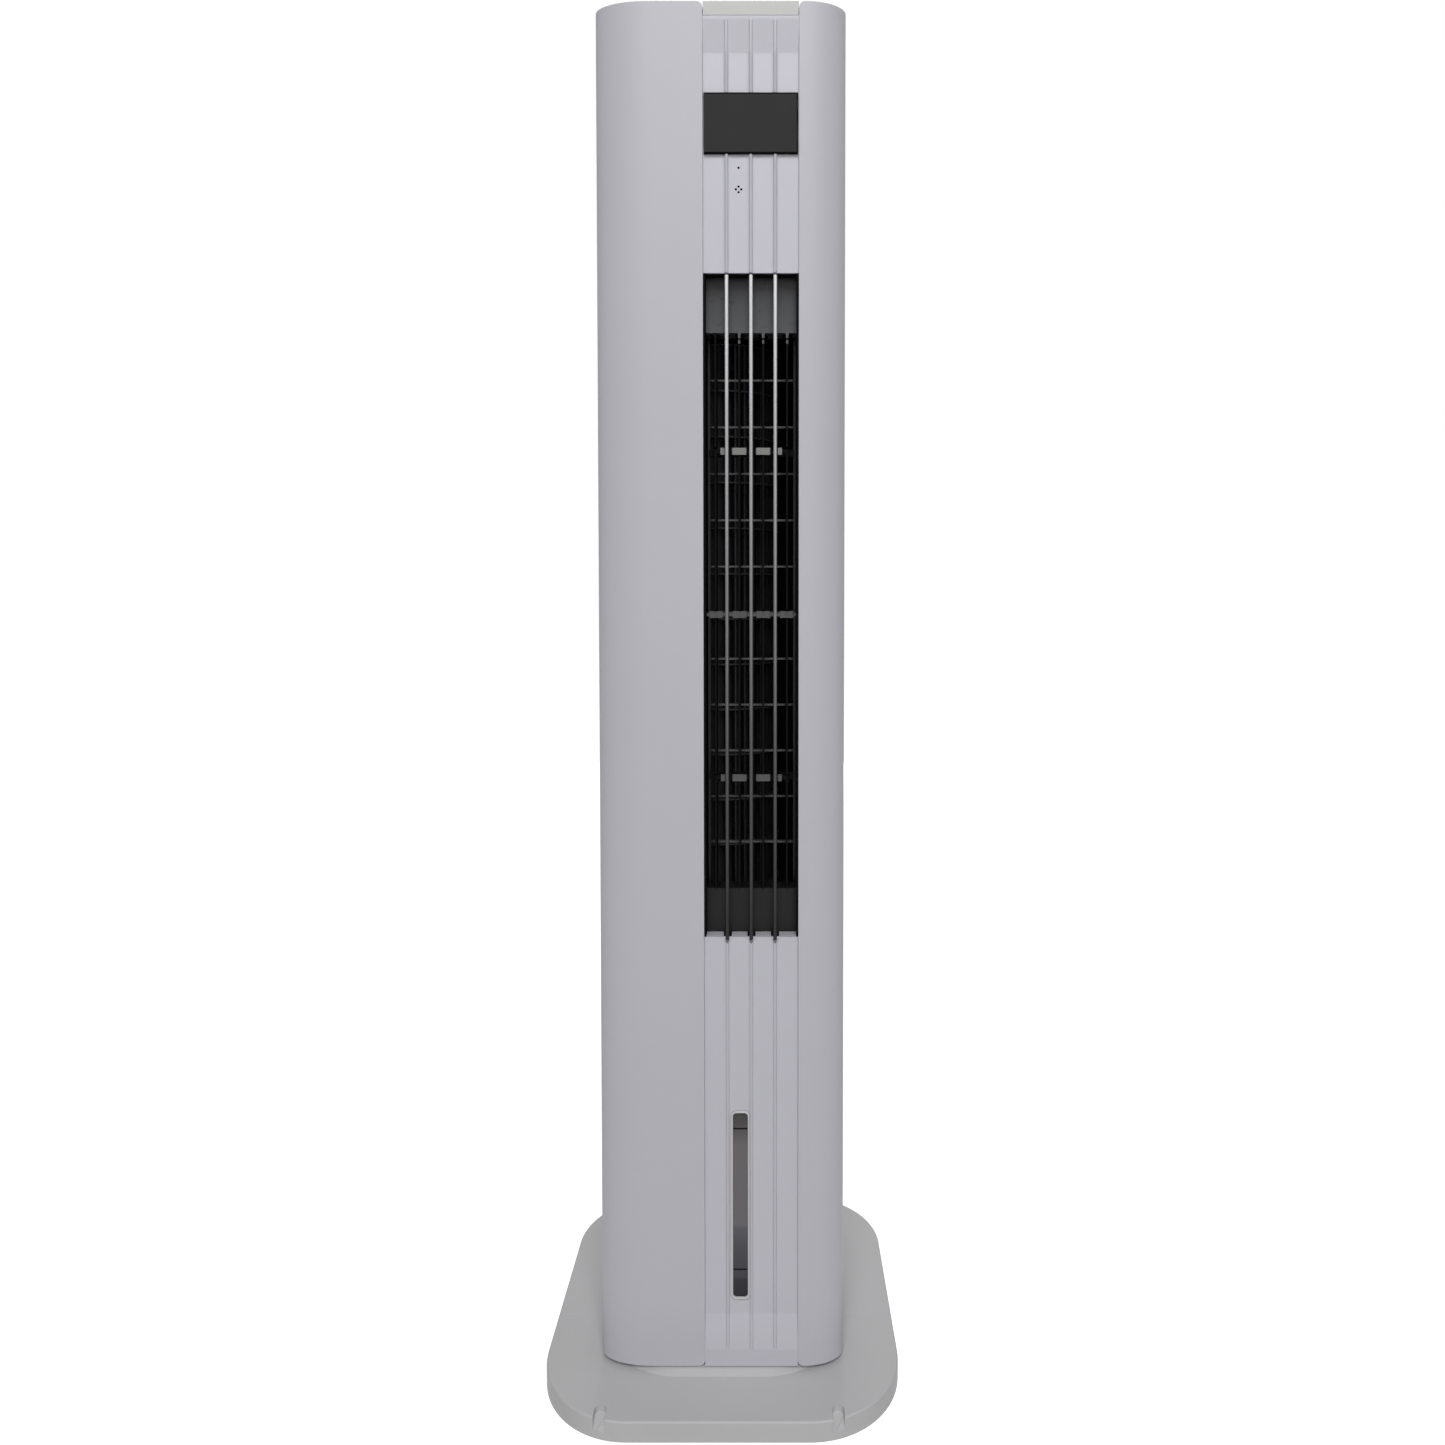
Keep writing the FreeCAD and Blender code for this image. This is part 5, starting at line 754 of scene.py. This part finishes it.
class TOWERFAN_OT_front_strip(Operator):
    """The recessed front strip: flush bands, ramps, three ribs, and its openings."""
    bl_idname = "towerfan.front_strip"
    bl_label = "Front strip"

    def execute(self, context):
        look = context.scene.tower_fan
        low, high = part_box("center_fascia")
        low.x, high.x = LEFT[1].x + HAIR, RIGHT[0].x - HAIR
        sunk = low.y + look.strip_sink
        back = sunk + look.wall
        piece = block("front_strip", low, (high.x, back, high.z))
        foot = (low.z + look.band_foot, low.z + look.band_foot + look.ramp_foot)
        head = (TOP - look.band_head - look.ramp_head, TOP - look.band_head)
        slice_at(piece, Z, [*foot, *head])
        cuts = {x + sign * offset for x in rib_places() for offset, height in RIB_SHAPE for sign in (-1, 1)}
        slice_at(piece, X, sorted(cuts))
        recessed = lambda point: near(point.y, low.y) and foot[1] - MERGE < point.z < head[0] + MERGE
        shift_points(piece, recessed, (0, look.strip_sink, 0))
        for offset, height in RIB_SHAPE:
            spots = [x + sign * offset for x in rib_places() for sign in (-1, 1)]
            shift_points(piece, lambda point: near(point.y, sunk) and any(near(point.x, x) for x in spots),
                         (0, -height, 0))
        edge = look.ramp_edge
        slice_at(piece, Z, [foot[0] + edge, foot[1] - edge, head[0] + edge, head[1] - edge])
        self.openings(look, piece, low, high, sunk, back)
        soften(piece, look.small_round, 2, 28)
        finish(piece, "casing", "strip_silver", "center_fascia")
        self.collar(look, back)
        return {"FINISHED"}

    def openings(self, look, piece, low, high, sunk, back):
        """The outlet with its three sill notches, the display's bed, the window and the sensor holes."""
        ahead, behind = low.y - MM, back + MM
        carve(piece, block("outlet_tool", (low.x - MM, ahead, VENT[0].z), (high.x + MM, behind, VENT[1].z)))
        half = look.groove_width / 2
        shoulder = VENT[0].z - look.groove_depth
        for x in rib_places():
            tool = block("notch_tool", (x - half, ahead, shoulder - look.groove_point),
                         (x + half, sunk + look.wall / 2, VENT[0].z + MM))
            slice_at(tool, Z, [shoulder])
            stretch(tool, lambda point: point.z < shoulder - MERGE, (POINT_TIP, 1, 1), (x, 0, 0))
            carve(piece, tool)
        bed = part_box("display_lens")
        carve(piece, block("bed_tool", (low.x - MM, ahead, bed[0].z - SEAM), (high.x + MM, sunk, bed[1].z + SEAM)))
        groove = -look.rim_width - look.rim_groove
        carve(piece, window_block("groove_tool", look, groove, ahead, sunk + look.rim_groove * GROOVE_DEPTH))
        carve(piece, window_block("window_tool", look, -look.rim_width, ahead, behind))
        for x, z in sensor_places(look):
            carve(piece, rod("sensor_tool", (x, sunk, z), look.sensor_radius, SENSOR_BORE, 20))

    def collar(self, look, back):
        """The dark lining of the outlet behind the strip, and its pale sill with gaps under the bars."""
        rear = DUCT[0].y
        wall = Vector((look.wall, 0, look.wall)) * LINING_SHARE
        low = Vector((VENT[0].x, back, VENT[0].z))
        high = Vector((VENT[1].x, rear, VENT[1].z))
        piece = block("outlet_lining", low - wall, high + wall)
        carve(piece, block("lining_tool", low - Y * MM, high + Y * MM))
        soften(piece, look.small_round)
        finish(piece, "casing", "louver_black")
        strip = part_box("center_fascia")
        front = strip_face(look) + look.post_drop
        for name, left, right in (("left", strip[0].x + CLEAR, low.x), ("right", high.x, strip[1].x - CLEAR)):
            post = block(f"outlet_post_{name}", (left, front, low.z + CLEAR), (right, back - CLEAR, high.z - CLEAR))
            soften(post, look.small_round)
            finish(post, "casing", "louver_black")
        sill = block("outlet_sill", (low.x, back - SILL_LAP, low.z - MM), (high.x, rear, low.z + SILL_RISE))
        field(sill, SILL_BORDER, SILL_CROWN, Z)
        margin = Vector((look.groove_width / 2, MM, 2 * MM))
        for x in rib_places():
            carve(sill, block("gap_tool", Vector((x, back, low.z)) - margin, Vector((x, rear, low.z)) + margin))
        smooth(sill)
        finish(sill, "casing", "strip_silver")


def rib_places():
    """The three ribs stand in line with the three outlet bars."""
    return [middle_x(f"outlet_bar_{side}") for side in SIDES]


def sensor_places(look):
    """The remote receiver's hole, and the four round the room sensor."""
    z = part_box("display_lens")[0].z
    x = look.sensor_x
    middle = z - look.thermo_drop
    reach = look.thermo_spread
    around = [(x + reach, middle), (x - reach, middle), (x, middle + reach), (x, middle - reach)]
    return [(x, z - look.receiver_drop), *around]


def window_block(name, look, inset, front, back):
    """A block with the water-level window's outline, taken in by an inset."""
    low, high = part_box("window_lens")
    edge = look.window_flange + inset
    low, high = low + Vector((edge, 0, edge)), high - Vector((edge, 0, edge))
    low.y, high.y = front, back
    piece = block(name, low, high)
    round_edges(piece, along(1), look.window_round - inset, 6)
    return piece


# The plugs' near-black is painted shade in the sensor holes.
PLUG_SINK = 1.05 * MM       # a sensor plug's middle behind the strip's face
PLUG_LENGTH = 1.6 * MM
PLUG_GAP = 0.02 * MM        # round a plug in its hole
PLUG_BORDER = 0.3           # round the crown of a plug, as a share of its radius
PLUG_CROWN = 0.1 * MM
PLUG_ROUND = 0.1 * MM


class TOWERFAN_OT_display(Operator):
    """The display: a smoked slab with a deeper border and soft edges; near-black plugs below paint the sensor holes'
    shade.
    """
    bl_idname = "towerfan.display"
    bl_label = "Display"

    def execute(self, context):
        look = context.scene.tower_fan
        low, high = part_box("display_lens")
        piece = block("display_slab", low, high)
        piece.data.materials.append(None)
        piece.data.materials.append(bpy.data.materials[FINISH_NAMES["duct_black"]])
        field(piece, look.display_border)
        inside = look.display_border / 2
        for face in piece.data.polygons:
            middle = all(low[i] + inside < face.center[i] < high[i] - inside for i in (0, 2))
            face.material_index = 0 if middle and face.normal.y < 0 else 1
        soften(piece, look.small_round, 3)
        finish(piece, "casing", "display_gloss", "display_lens")
        # Near-black plugs close behind the strip's face: painted shade in the sensor holes.
        plugs = []
        for number, (x, z) in enumerate(sensor_places(look)):
            place = (x, strip_face(look) + PLUG_SINK, z)
            plug = rod(f"sensor_plug_{number}", place, look.sensor_radius - PLUG_GAP, PLUG_LENGTH, 20)
            field(plug, look.sensor_radius * PLUG_BORDER, PLUG_CROWN)
            plugs.append(plug)
        piece = take(*plugs)
        piece.name = "sensor_plugs"
        soften(piece, PLUG_ROUND)
        finish(piece, "casing", "duct_black")
        return {"FINISHED"}


NOSE = 0.42                 # round of a bar's front edges, as a share of its width


class TOWERFAN_OT_outlet_bars(Operator):
    """The three upright bars: a rounded nose, a tapered fin, and a head that stops short of the outlet."""
    bl_idname = "towerfan.outlet_bars"
    bl_label = "Outlet bars"

    def execute(self, context):
        look = context.scene.tower_fan
        half = look.bar_width / 2
        for side in SIDES:
            node = f"outlet_bar_{side}"
            low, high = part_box(node)
            middle = middle_x(node)
            low.x, high.x = middle - half, middle + half
            high.z = VENT[1].z - look.bar_gap
            piece = block(f"bar_{side}", low, high)
            round_edges(piece, along(2, (0, [low.x, high.x]), (1, [low.y])), look.bar_width * NOSE, 6)
            stretch(piece, lambda point: point.y > high.y - MERGE, (look.bar_taper, 1, 1), (middle, 0, 0))
            soften(piece, look.small_round)
            finish(piece, "casing", "bar_metallic", node)
        return {"FINISHED"}


PLATE_BORDER = 0.7 * MM     # round the sunk field of a clip or cap
CLIP_SINK = 0.25 * MM
CAP_SINK = 0.2 * MM
CAP_THICK = 0.8 * MM
TAB_PROUD = 0.6 * MM        # reach of a tab and its rib ahead of the blade
TAB_REACH = 6 * MM
TAB_FOOT = 0.65             # a tab's width at its foot, as a share of its head's
RIB_REACH = 3 * MM
RIB_WIDTH = 0.7             # of the rib below a tab, as a share of the tab's
RIB_HEAD = 0.35             # the rib's head below the tab's foot, as a share of the tab's height


class TOWERFAN_OT_links(Operator):
    """The clips of the two bars that link the louvers, the comb's caps and the blades' tabs."""
    bl_idname = "towerfan.links"
    bl_label = "Louver links"

    def execute(self, context):
        look = context.scene.tower_fan
        half = look.clip_width / 2
        clips = [(middle_x(f"louver_{number}") - half, middle_x(f"louver_{number}") + half) for number in (2, 3)]
        start, end = clips[0][0] - look.clip_gap, clips[1][1] + look.clip_gap
        clips += [(start, start + look.clip_end), (end - look.clip_end, end)]
        for name in ("upper", "lower"):
            low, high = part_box(f"link_bar_{name}")
            middle = (low.z + high.z) / 2
            for number, (left, right) in enumerate(clips):
                clip = self.plate(look, f"link_clip_{name}_{number}", CLIP_SINK,
                                  (left, low.y - look.clip_thick, middle - look.clip_height / 2),
                                  (right, low.y - CLEAR, middle + look.clip_height / 2))
                finish(clip, f"link_{name}", "link_grey")
        self.tabs(look)
        self.comb_caps(look)
        return {"FINISHED"}

    def plate(self, look, name, sink, low, high):
        """A small plate with soft edges and a sunk field in its front."""
        piece = block(name, low, high)
        field(piece, PLATE_BORDER, -sink)
        soften(piece, look.small_round)
        return piece

    def comb_caps(self, look):
        """The flat caps that close the comb's clips in front of the blades' necks."""
        low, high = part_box("louver_comb")
        for number in (1, 2, 3, 4):
            x = middle_x(f"louver_{number}")
            cap = self.plate(look, f"comb_cap_{number}", CAP_SINK,
                             (x - look.cap_half, low.y - CAP_THICK, low.z + CLEAR),
                             (x + look.cap_half, low.y - CLEAR, high.z - CLEAR))
            finish(cap, "casing", "guard_grey")

    def tabs(self, look):
        """The grey tab and rib at the head of the three free blades' front edges."""
        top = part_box("upper_duct_cover")[0].z - look.tab_gap
        foot = top - look.tab_height
        half = look.tab_width / 2
        for number in (2, 3, 4):
            x = middle_x(f"louver_{number}")
            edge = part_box(f"louver_{number}")[0].y
            front = edge - TAB_PROUD
            tab = block(f"blade_tab_{number}", (x - half, front, foot), (x + half, edge + TAB_REACH, top))
            stretch(tab, lambda point: point.z < foot + MERGE, (TAB_FOOT, 1, 1), (x, 0, 0))
            rib = block("blade_rib", (x - half * RIB_WIDTH, front, foot - look.tab_height),
                        (x + half * RIB_WIDTH, edge + RIB_REACH, foot - look.tab_height * RIB_HEAD))
            soften(take(tab, rib), look.small_round)
            finish(tab, f"louver_{number}", "guard_grey")


PANE_SINK = 0.5 * MM        # the pane's face behind the CAD lens's
MARK_FRONT = 0.3 * MM       # a level mark's face behind the CAD lens's
MARK_BACK = 0.55 * MM
MARK_BORDER = 0.2 * MM
MARK_CROWN = 0.05 * MM
RIM_ROUND = 0.4             # round of the rim's edges, as a share of its width
RIM_MARGIN = 5 * MM         # reach of the rim's tool beyond it


class TOWERFAN_OT_level_window(Operator):
    """The water-level window: a lens with a polished edge, two level marks and a moulded rim."""
    bl_idname = "towerfan.level_window"
    bl_label = "Level window"

    def execute(self, context):
        look = context.scene.tower_fan
        low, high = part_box("window_lens")
        sunk = strip_face(look)
        lens = window_block("window_pane", look, CLEAR, low.y + PANE_SINK, high.y - MM)
        soften(lens, look.small_round, 3)
        finish(lens, "casing", "window_clear", "window_lens")
        rim = window_block("window_rim", look, -look.rim_width, sunk - look.rim_proud, sunk + look.wall)
        carve(rim, window_block("rim_tool", look, 0.0, sunk - RIM_MARGIN, high.y + RIM_MARGIN))
        soften(rim, look.rim_width * RIM_ROUND, 4)
        finish(rim, "casing", "cap_plastic")
        marks = []
        half = look.mark_height / 2
        for number, z in enumerate((look.level_full, look.level_low)):
            mark = block(f"mark_{number}", (low.x + look.window_flange, low.y + MARK_FRONT, z - half),
                         (high.x - look.window_flange, low.y + MARK_BACK, z + half))
            field(mark, MARK_BORDER, MARK_CROWN)
            marks.append(mark)
        piece = take(*marks)
        piece.name = "level_marks"
        finish(piece, "casing", "louver_black")
        return {"FINISHED"}


COLUMNS = 3                 # of slots in the intake grille
FLUTE_BITE = 0.4            # a flute's middle outside the knob, as a share of the flute's radius
FLUTE_LENGTH = 5.2 * MM


class TOWERFAN_OT_back(Operator):
    """The intake grille, the tank's face, the fluted latch and the cord gland."""
    bl_idname = "towerfan.back"
    bl_label = "Back pieces"

    def execute(self, context):
        look = context.scene.tower_fan
        self.grille(look)
        for node, name in (("tank_face", "tank_front"), ("cord_gland", "gland")):
            piece = drawn_from(node, name)
            soften(piece, look.small_round)
            stand_for(piece, node)
        self.latch(look)
        return {"FINISHED"}

    def grille(self, look):
        """A thin plate with rows of round-cornered slots in three columns."""
        low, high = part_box("rear_grille")
        inside = (high.x - low.x) / 2 - look.grille_border
        column = (2 * inside - 2 * look.grille_post) / COLUMNS
        rows = int((high.z - low.z - 2 * look.grille_border) / look.grille_pitch)
        starts = [number * (column + look.grille_post) - inside for number in range(COLUMNS)]
        first = (low.z + high.z) / 2 - rows / 2 * look.grille_pitch
        piece = block("intake_grille", low, high)
        slice_at(piece, X, [x - look.grille_post / 2 for x in (*starts, inside + look.grille_post)])
        slice_at(piece, Z, [first + number * look.grille_pitch for number in range(rows + 1)])
        middle = first + look.grille_pitch / 2
        slot = block("slot_tool", (starts[0], low.y - MM, middle - look.grille_slot / 2),
                     (starts[0] + column, high.y + MM, middle + look.grille_slot / 2))
        round_edges(slot, along(1), look.slot_round, 3)
        tools = [slot]
        for across in range(COLUMNS):
            for row in range(rows):
                if across or row:
                    tools.append(copy_of(slot, "slot_copy"))
                    place = Vector((across * (column + look.grille_post), 0, row * look.grille_pitch))
                    tools[-1].data.transform(Matrix.Translation(place))
        carve(piece, take(*tools))
        soften(piece, look.small_round)
        stand_for(piece, "rear_grille")

    def latch(self, look):
        """The tank's quarter-turn latch, with flutes cut round its knob."""
        low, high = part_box("tank_latch")
        radius = (high.z - low.z) / 2
        middle = Vector((high.x - radius, high.y - look.flute_drop, (low.z + high.z) / 2))
        piece = drawn_from("tank_latch", "latch_knob")
        tools = []
        for number in range(look.flute_count):
            turn = math.tau * (number + 0.5) / look.flute_count
            place = middle + Vector((math.cos(turn), 0, math.sin(turn))) * (radius + look.flute_size * FLUTE_BITE)
            tools.append(rod(f"flute_{number}", place, look.flute_size, FLUTE_LENGTH, 10))
        carve(piece, take(*tools))
        soften(piece, look.small_round, 2, 40)
        stand_for(piece, "tank_latch")


SCREW_SPACING = 10 * MM     # less than this on both axes across, and two points are on the same screw


class TOWERFAN_OT_screws(Operator):
    """The case and base screws, each with a cross recess in its head."""
    bl_idname = "towerfan.screws"
    bl_label = "Screws"

    def execute(self, context):
        look = context.scene.tower_fan
        for node, axis, side in (("case_screws", 1, 1), ("base_screws", 2, 0)):
            piece = drawn_from(node, f"{node}_crossed")
            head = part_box(node)[side][axis]
            across = [i for i in range(3) if i != axis]
            spots = middles(piece, across)
            for long in across:
                tools = []
                for number, spot in enumerate(spots):
                    half = Vector((1, 1, 1)) * look.recess_width / 2
                    half[long] = look.recess_length / 2
                    half[axis] = look.recess_depth
                    spot[axis] = head
                    tools.append(block(f"recess_{number}", spot - half, spot + half))
                carve(piece, take(*tools))
            smooth(piece)
            stand_for(piece, node)
        return {"FINISHED"}


def middles(piece, across):
    """The middles of a piece's loose screws, which stand apart on the two axes across."""
    groups = []
    for vertex in piece.data.vertices:
        point = vertex.co.copy()
        same = (group for group in groups if all(abs(group[0][i] - point[i]) < SCREW_SPACING for i in across))
        group = next(same, None)
        if group is None:
            groups.append([point])
        else:
            group.append(point)
    return [Vector([(min(p[i] for p in group) + max(p[i] for p in group)) / 2 for i in range(3)]) for group in groups]


class TOWERFAN_OT_cooling_pad(Operator):
    """The wet pad: a block of paper fluted on both faces."""
    bl_idname = "towerfan.cooling_pad"
    bl_label = "Cooling pad"

    def execute(self, context):
        look = context.scene.tower_fan
        low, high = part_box("cooling_pad")
        piece = block("fluted_pad", low, high)
        count = round((high.x - low.x) / look.pad_flute)
        pitch = (high.x - low.x) / count
        slice_at(piece, X, [low.x + pitch * number for number in range(1, count)])
        for face, depth in ((low.y, look.pad_depth), (high.y, -look.pad_depth)):
            shift_points(piece, lambda point: near(point.y, face) and round((point.x - low.x) / pitch) % 2,
                         (0, depth, 0))
        smooth(piece, 10)
        stand_for(piece, "cooling_pad")
        return {"FINISHED"}


class TOWERFAN_OT_top_cap(Operator):
    """The lid between the panels, with its pale front band."""
    bl_idname = "towerfan.top_cap"
    bl_label = "Top cap"

    def execute(self, context):
        piece = drawn_from("top_cover", "top_lid")
        soften(piece, context.scene.tower_fan.small_round)
        finish(piece, "casing", "cap_plastic", "top_cover")
        return {"FINISHED"}


BOSS_WALL = 0.7             # wall round a notch, as a share of the cover's wall
RAMP_LAP = 0.6 * MM         # depth of the ramp's pad in the cover
CREST_ROUND = 2 * MM
NOTCH_ROUND = 0.97          # round of a notch's end, as a share of half its width
SLOPE_START = 1.1           # how far before its end a notch's floor is raised, as a share of half its width


class TOWERFAN_OT_base(Operator):
    """The two halves of the base cover, with their raised ramp, and the two notches in the front rim."""
    bl_idname = "towerfan.base"
    bl_label = "Base cover"

    def execute(self, context):
        look = context.scene.tower_fan
        low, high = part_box("base_front")[0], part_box("base_rear")[1]
        top = high.z - look.ramp_rise
        cover = self.body(look, "base_cover", low, (high.x, high.y, top), look.wall)
        combine(cover, "UNION", self.ramp(look, top, high.z))
        inset = Vector((1, 1, 1)) * CLEAR
        inner = (low + inset, Vector((high.x, high.y, top)) - inset)
        for x in (-look.scoop_x, look.scoop_x):
            boss = self.notch(look, x, low.y, top, look.wall * BOSS_WALL)
            combine(boss, "INTERSECT", self.body(look, "boss_limit", *inner))
            combine(cover, "UNION", boss)
            carve(cover, self.notch(look, x, low.y, top, 0))
        for name, node, front in (("cover_front", "base_front", True), ("cover_rear", "base_rear", False)):
            half = copy_of(cover, name)
            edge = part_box(node)[1 if front else 0].y
            open_all(half)
            bpy.ops.mesh.bisect(plane_co=Y * edge, plane_no=Y, use_fill=True, clear_outer=front, clear_inner=not front)
            leave_edit()
            soften(half, look.small_round, 2, 25, 13)
            finish(half, "casing", "base_silver", node)
        bpy.data.objects.remove(cover)
        return {"FINISHED"}

    def body(self, look, name, low, high, wall=0):
        """The low slab with round corners and a rounded rim, solid or as an open shell with a wall."""
        slab = block(name, low, high)
        round_edges(slab, along(2), look.base_corner, 28)
        if wall:
            remove_faces(slab, lambda middle, normal: normal.z < -FACING)
            thicken(slab, wall)
        round_edges(slab, level(high[2]), look.base_edge, 8)
        return slab

    def ramp(self, look, top, crest):
        """The raised pad round the tower: a slope all round and a rounded crest."""
        reach = Vector((look.ramp_margin, look.ramp_margin, 0))
        low = Vector((LEFT[0].x, LEFT[0].y, top - RAMP_LAP)) - reach
        high = Vector((RIGHT[1].x, REAR[1].y, crest)) + reach
        pad = block("ramp_pad", low, high)
        for y, radius in ((low.y, look.ramp_round_front), (high.y, look.ramp_round_back)):
            round_edges(pad, along(2, (0, [low.x, high.x]), (1, [y])), radius, 24)
        size = high - low
        share = ((size.x - 2 * look.ramp_run) / size.x, (size.y - 2 * look.ramp_run) / size.y, 1)
        stretch(pad, lambda point: near(point.z, crest), share, (low + high) / 2)
        round_edges(pad, level(crest), CREST_ROUND, 4)
        return pad

    def notch(self, look, x, front, top, grow):
        """A slot with a round end, open to the front, whose floor rises towards its end."""
        half = look.scoop_radius + grow
        end = front + look.scoop_depth + grow
        tool = block("notch_tool", (x - half, front - MM, look.scoop_floor - grow), (x + half, end, top + MM))
        round_edges(tool, along(2, (0, [x - half, x + half]), (1, [end])), half * NOTCH_ROUND, 8)
        shift_points(tool, lambda point: point.z < top and point.y > end - half * SLOPE_START, Z * look.scoop_slope)
        return tool


# Soft square lamps: name, place, what they point at, size and power.
LAMPS = (
    ("lamp_front", (0.3, -7.0, 8.0), (0, 0, 0.5), 4.4, 572),
    ("lamp_low", (0.3, -3.2, 0.9), (0, 0, 0.3), 1.2, 10),
    ("lamp_back", (0.0, 3.4, 0.6), (0, 0, 0.6), 1.0, 34),
)
CAMERA = {"place": (40.99 * MM, -958.8 * MM, 681.6 * MM), "tilt": 1.85, "lens": 25.28, "shift": (-0.0322, -0.06)}
SENSOR_WIDTH = 36           # of the camera, in mm
ROOM_LIGHT = 0.18           # brightness of the surroundings for the light that falls on the fan
FLOOR_GLOW = 0.9            # what the eye sees on top of the floor's own paint
FLOOR_SIZE = 40             # metres


class TOWERFAN_OT_stage(Operator):
    """Pale floor, soft lamps, white surroundings and the camera."""
    bl_idname = "towerfan.stage"
    bl_label = "Stage"

    def execute(self, context):
        deselect()
        bpy.ops.mesh.primitive_plane_add(size=FLOOR_SIZE, location=(0, 0, 0))
        floor = named("studio_floor")
        floor.data.materials.append(floor_paint())
        surroundings(context.scene)
        for settings in LAMPS:
            lamp(*settings)
        camera(context.scene)
        context.scene.view_settings.view_transform = "Standard"
        return {"FINISHED"}


def placed(name, data, place):
    """A lamp or camera in the scene, at its place."""
    holder = bpy.data.objects.new(name, data)
    bpy.context.scene.collection.objects.link(holder)
    holder.location = place
    return holder


def lamp(name, place, aim, size, power):
    """A square soft lamp that points at a spot."""
    light = bpy.data.lights.new(name, "AREA")
    light.size = size
    light.energy = power
    placed(name, light, place).rotation_euler = (Vector(aim) - Vector(place)).to_track_quat("-Z", "Y").to_euler()


def camera(scene):
    """The camera at standing distance, in front and a little to the right."""
    data = bpy.data.cameras.new("camera")
    data.lens = CAMERA["lens"]
    data.sensor_width = SENSOR_WIDTH
    data.shift_x, data.shift_y = CAMERA["shift"]
    scene.camera = placed("camera", data, CAMERA["place"])
    scene.camera.rotation_euler = (math.radians(90 - CAMERA["tilt"]), 0, 0)


def seen(tree):
    """1 for what the camera sees, straight, in gloss or through glass."""
    rays = add(tree, "ShaderNodeLightPath")
    total = rays.outputs["Is Camera Ray"]
    for kind in ("Is Glossy Ray", "Is Transmission Ray"):
        total = add(tree, "ShaderNodeMath", {"operation": "MAXIMUM"}, {0: total, 1: rays.outputs[kind]}).outputs[0]
    return total


def floor_paint():
    """Matt white studio paper that glows a little to the eye, so that it reads white and keeps the shadow."""
    material = bpy.data.materials.new("white_studio_paper")
    tree = bare_tree(material)
    paper = add(tree, "ShaderNodeBsdfDiffuse", {"Color": colour("C8C8C8")})
    strength = add(tree, "ShaderNodeMath", {"operation": "MULTIPLY", 1: FLOOR_GLOW}, {0: seen(tree)})
    glow = add(tree, "ShaderNodeEmission", links={"Strength": strength.outputs[0]})
    both = add(tree, "ShaderNodeAddShader", links={0: paper.outputs[0], 1: glow.outputs[0]})
    add(tree, "ShaderNodeOutputMaterial", links={"Surface": both.outputs[0]})
    return material


def surroundings(scene):
    """White surroundings to the eye, and an even, dimmer light on the fan."""
    scene.world = bpy.data.worlds.new("studio")
    tree = bare_tree(scene.world)
    strength = spread(seen(tree), ROOM_LIGHT, 1, 0, 1)
    sky = add(tree, "ShaderNodeBackground", {"Color": (1, 1, 1, 1)}, {"Strength": strength})
    add(tree, "ShaderNodeOutputWorld", links={"Surface": sky.outputs[0]})


# ---------------------------------------------------------------- panel and registration

class TOWERFAN_PT_pieces(Panel):
    """The list of the fan's pieces."""
    bl_idname = "TOWERFAN_PT_pieces"
    bl_label = "Tower Fan"
    bl_space_type = "VIEW_3D"
    bl_region_type = "UI"
    bl_category = "Tower Fan"

    def draw(self, context):
        settings = context.scene.tower_fan
        for name in settings.bl_rna.properties.keys():
            if name not in {"rna_type", "name"}:
                self.layout.prop(settings, name)
        for operator in OPERATORS:
            self.layout.operator(operator.bl_idname)


OPERATORS = (
    TOWERFAN_OT_finishes,
    TOWERFAN_OT_side_panels,
    TOWERFAN_OT_front_strip,
    TOWERFAN_OT_display,
    TOWERFAN_OT_outlet_bars,
    TOWERFAN_OT_links,
    TOWERFAN_OT_level_window,
    TOWERFAN_OT_back,
    TOWERFAN_OT_screws,
    TOWERFAN_OT_cooling_pad,
    TOWERFAN_OT_top_cap,
    TOWERFAN_OT_base,
    TOWERFAN_OT_stage,
)
CLASSES = (TowerFanSettings, *OPERATORS, TOWERFAN_PT_pieces)


def register():
    """Register the classes and the settings."""
    for item in CLASSES:
        bpy.utils.register_class(item)
    bpy.types.Scene.tower_fan = PointerProperty(type=TowerFanSettings)


def unregister():
    """Remove the settings and the classes."""
    del bpy.types.Scene.tower_fan
    for item in reversed(CLASSES):
        bpy.utils.unregister_class(item)


def main():
    """Build every piece in order."""
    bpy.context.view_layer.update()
    register()
    for operator in OPERATORS:
        group, name = operator.bl_idname.split(".")
        getattr(getattr(bpy.ops, group), name)()


if __name__ == "__main__":
    main()
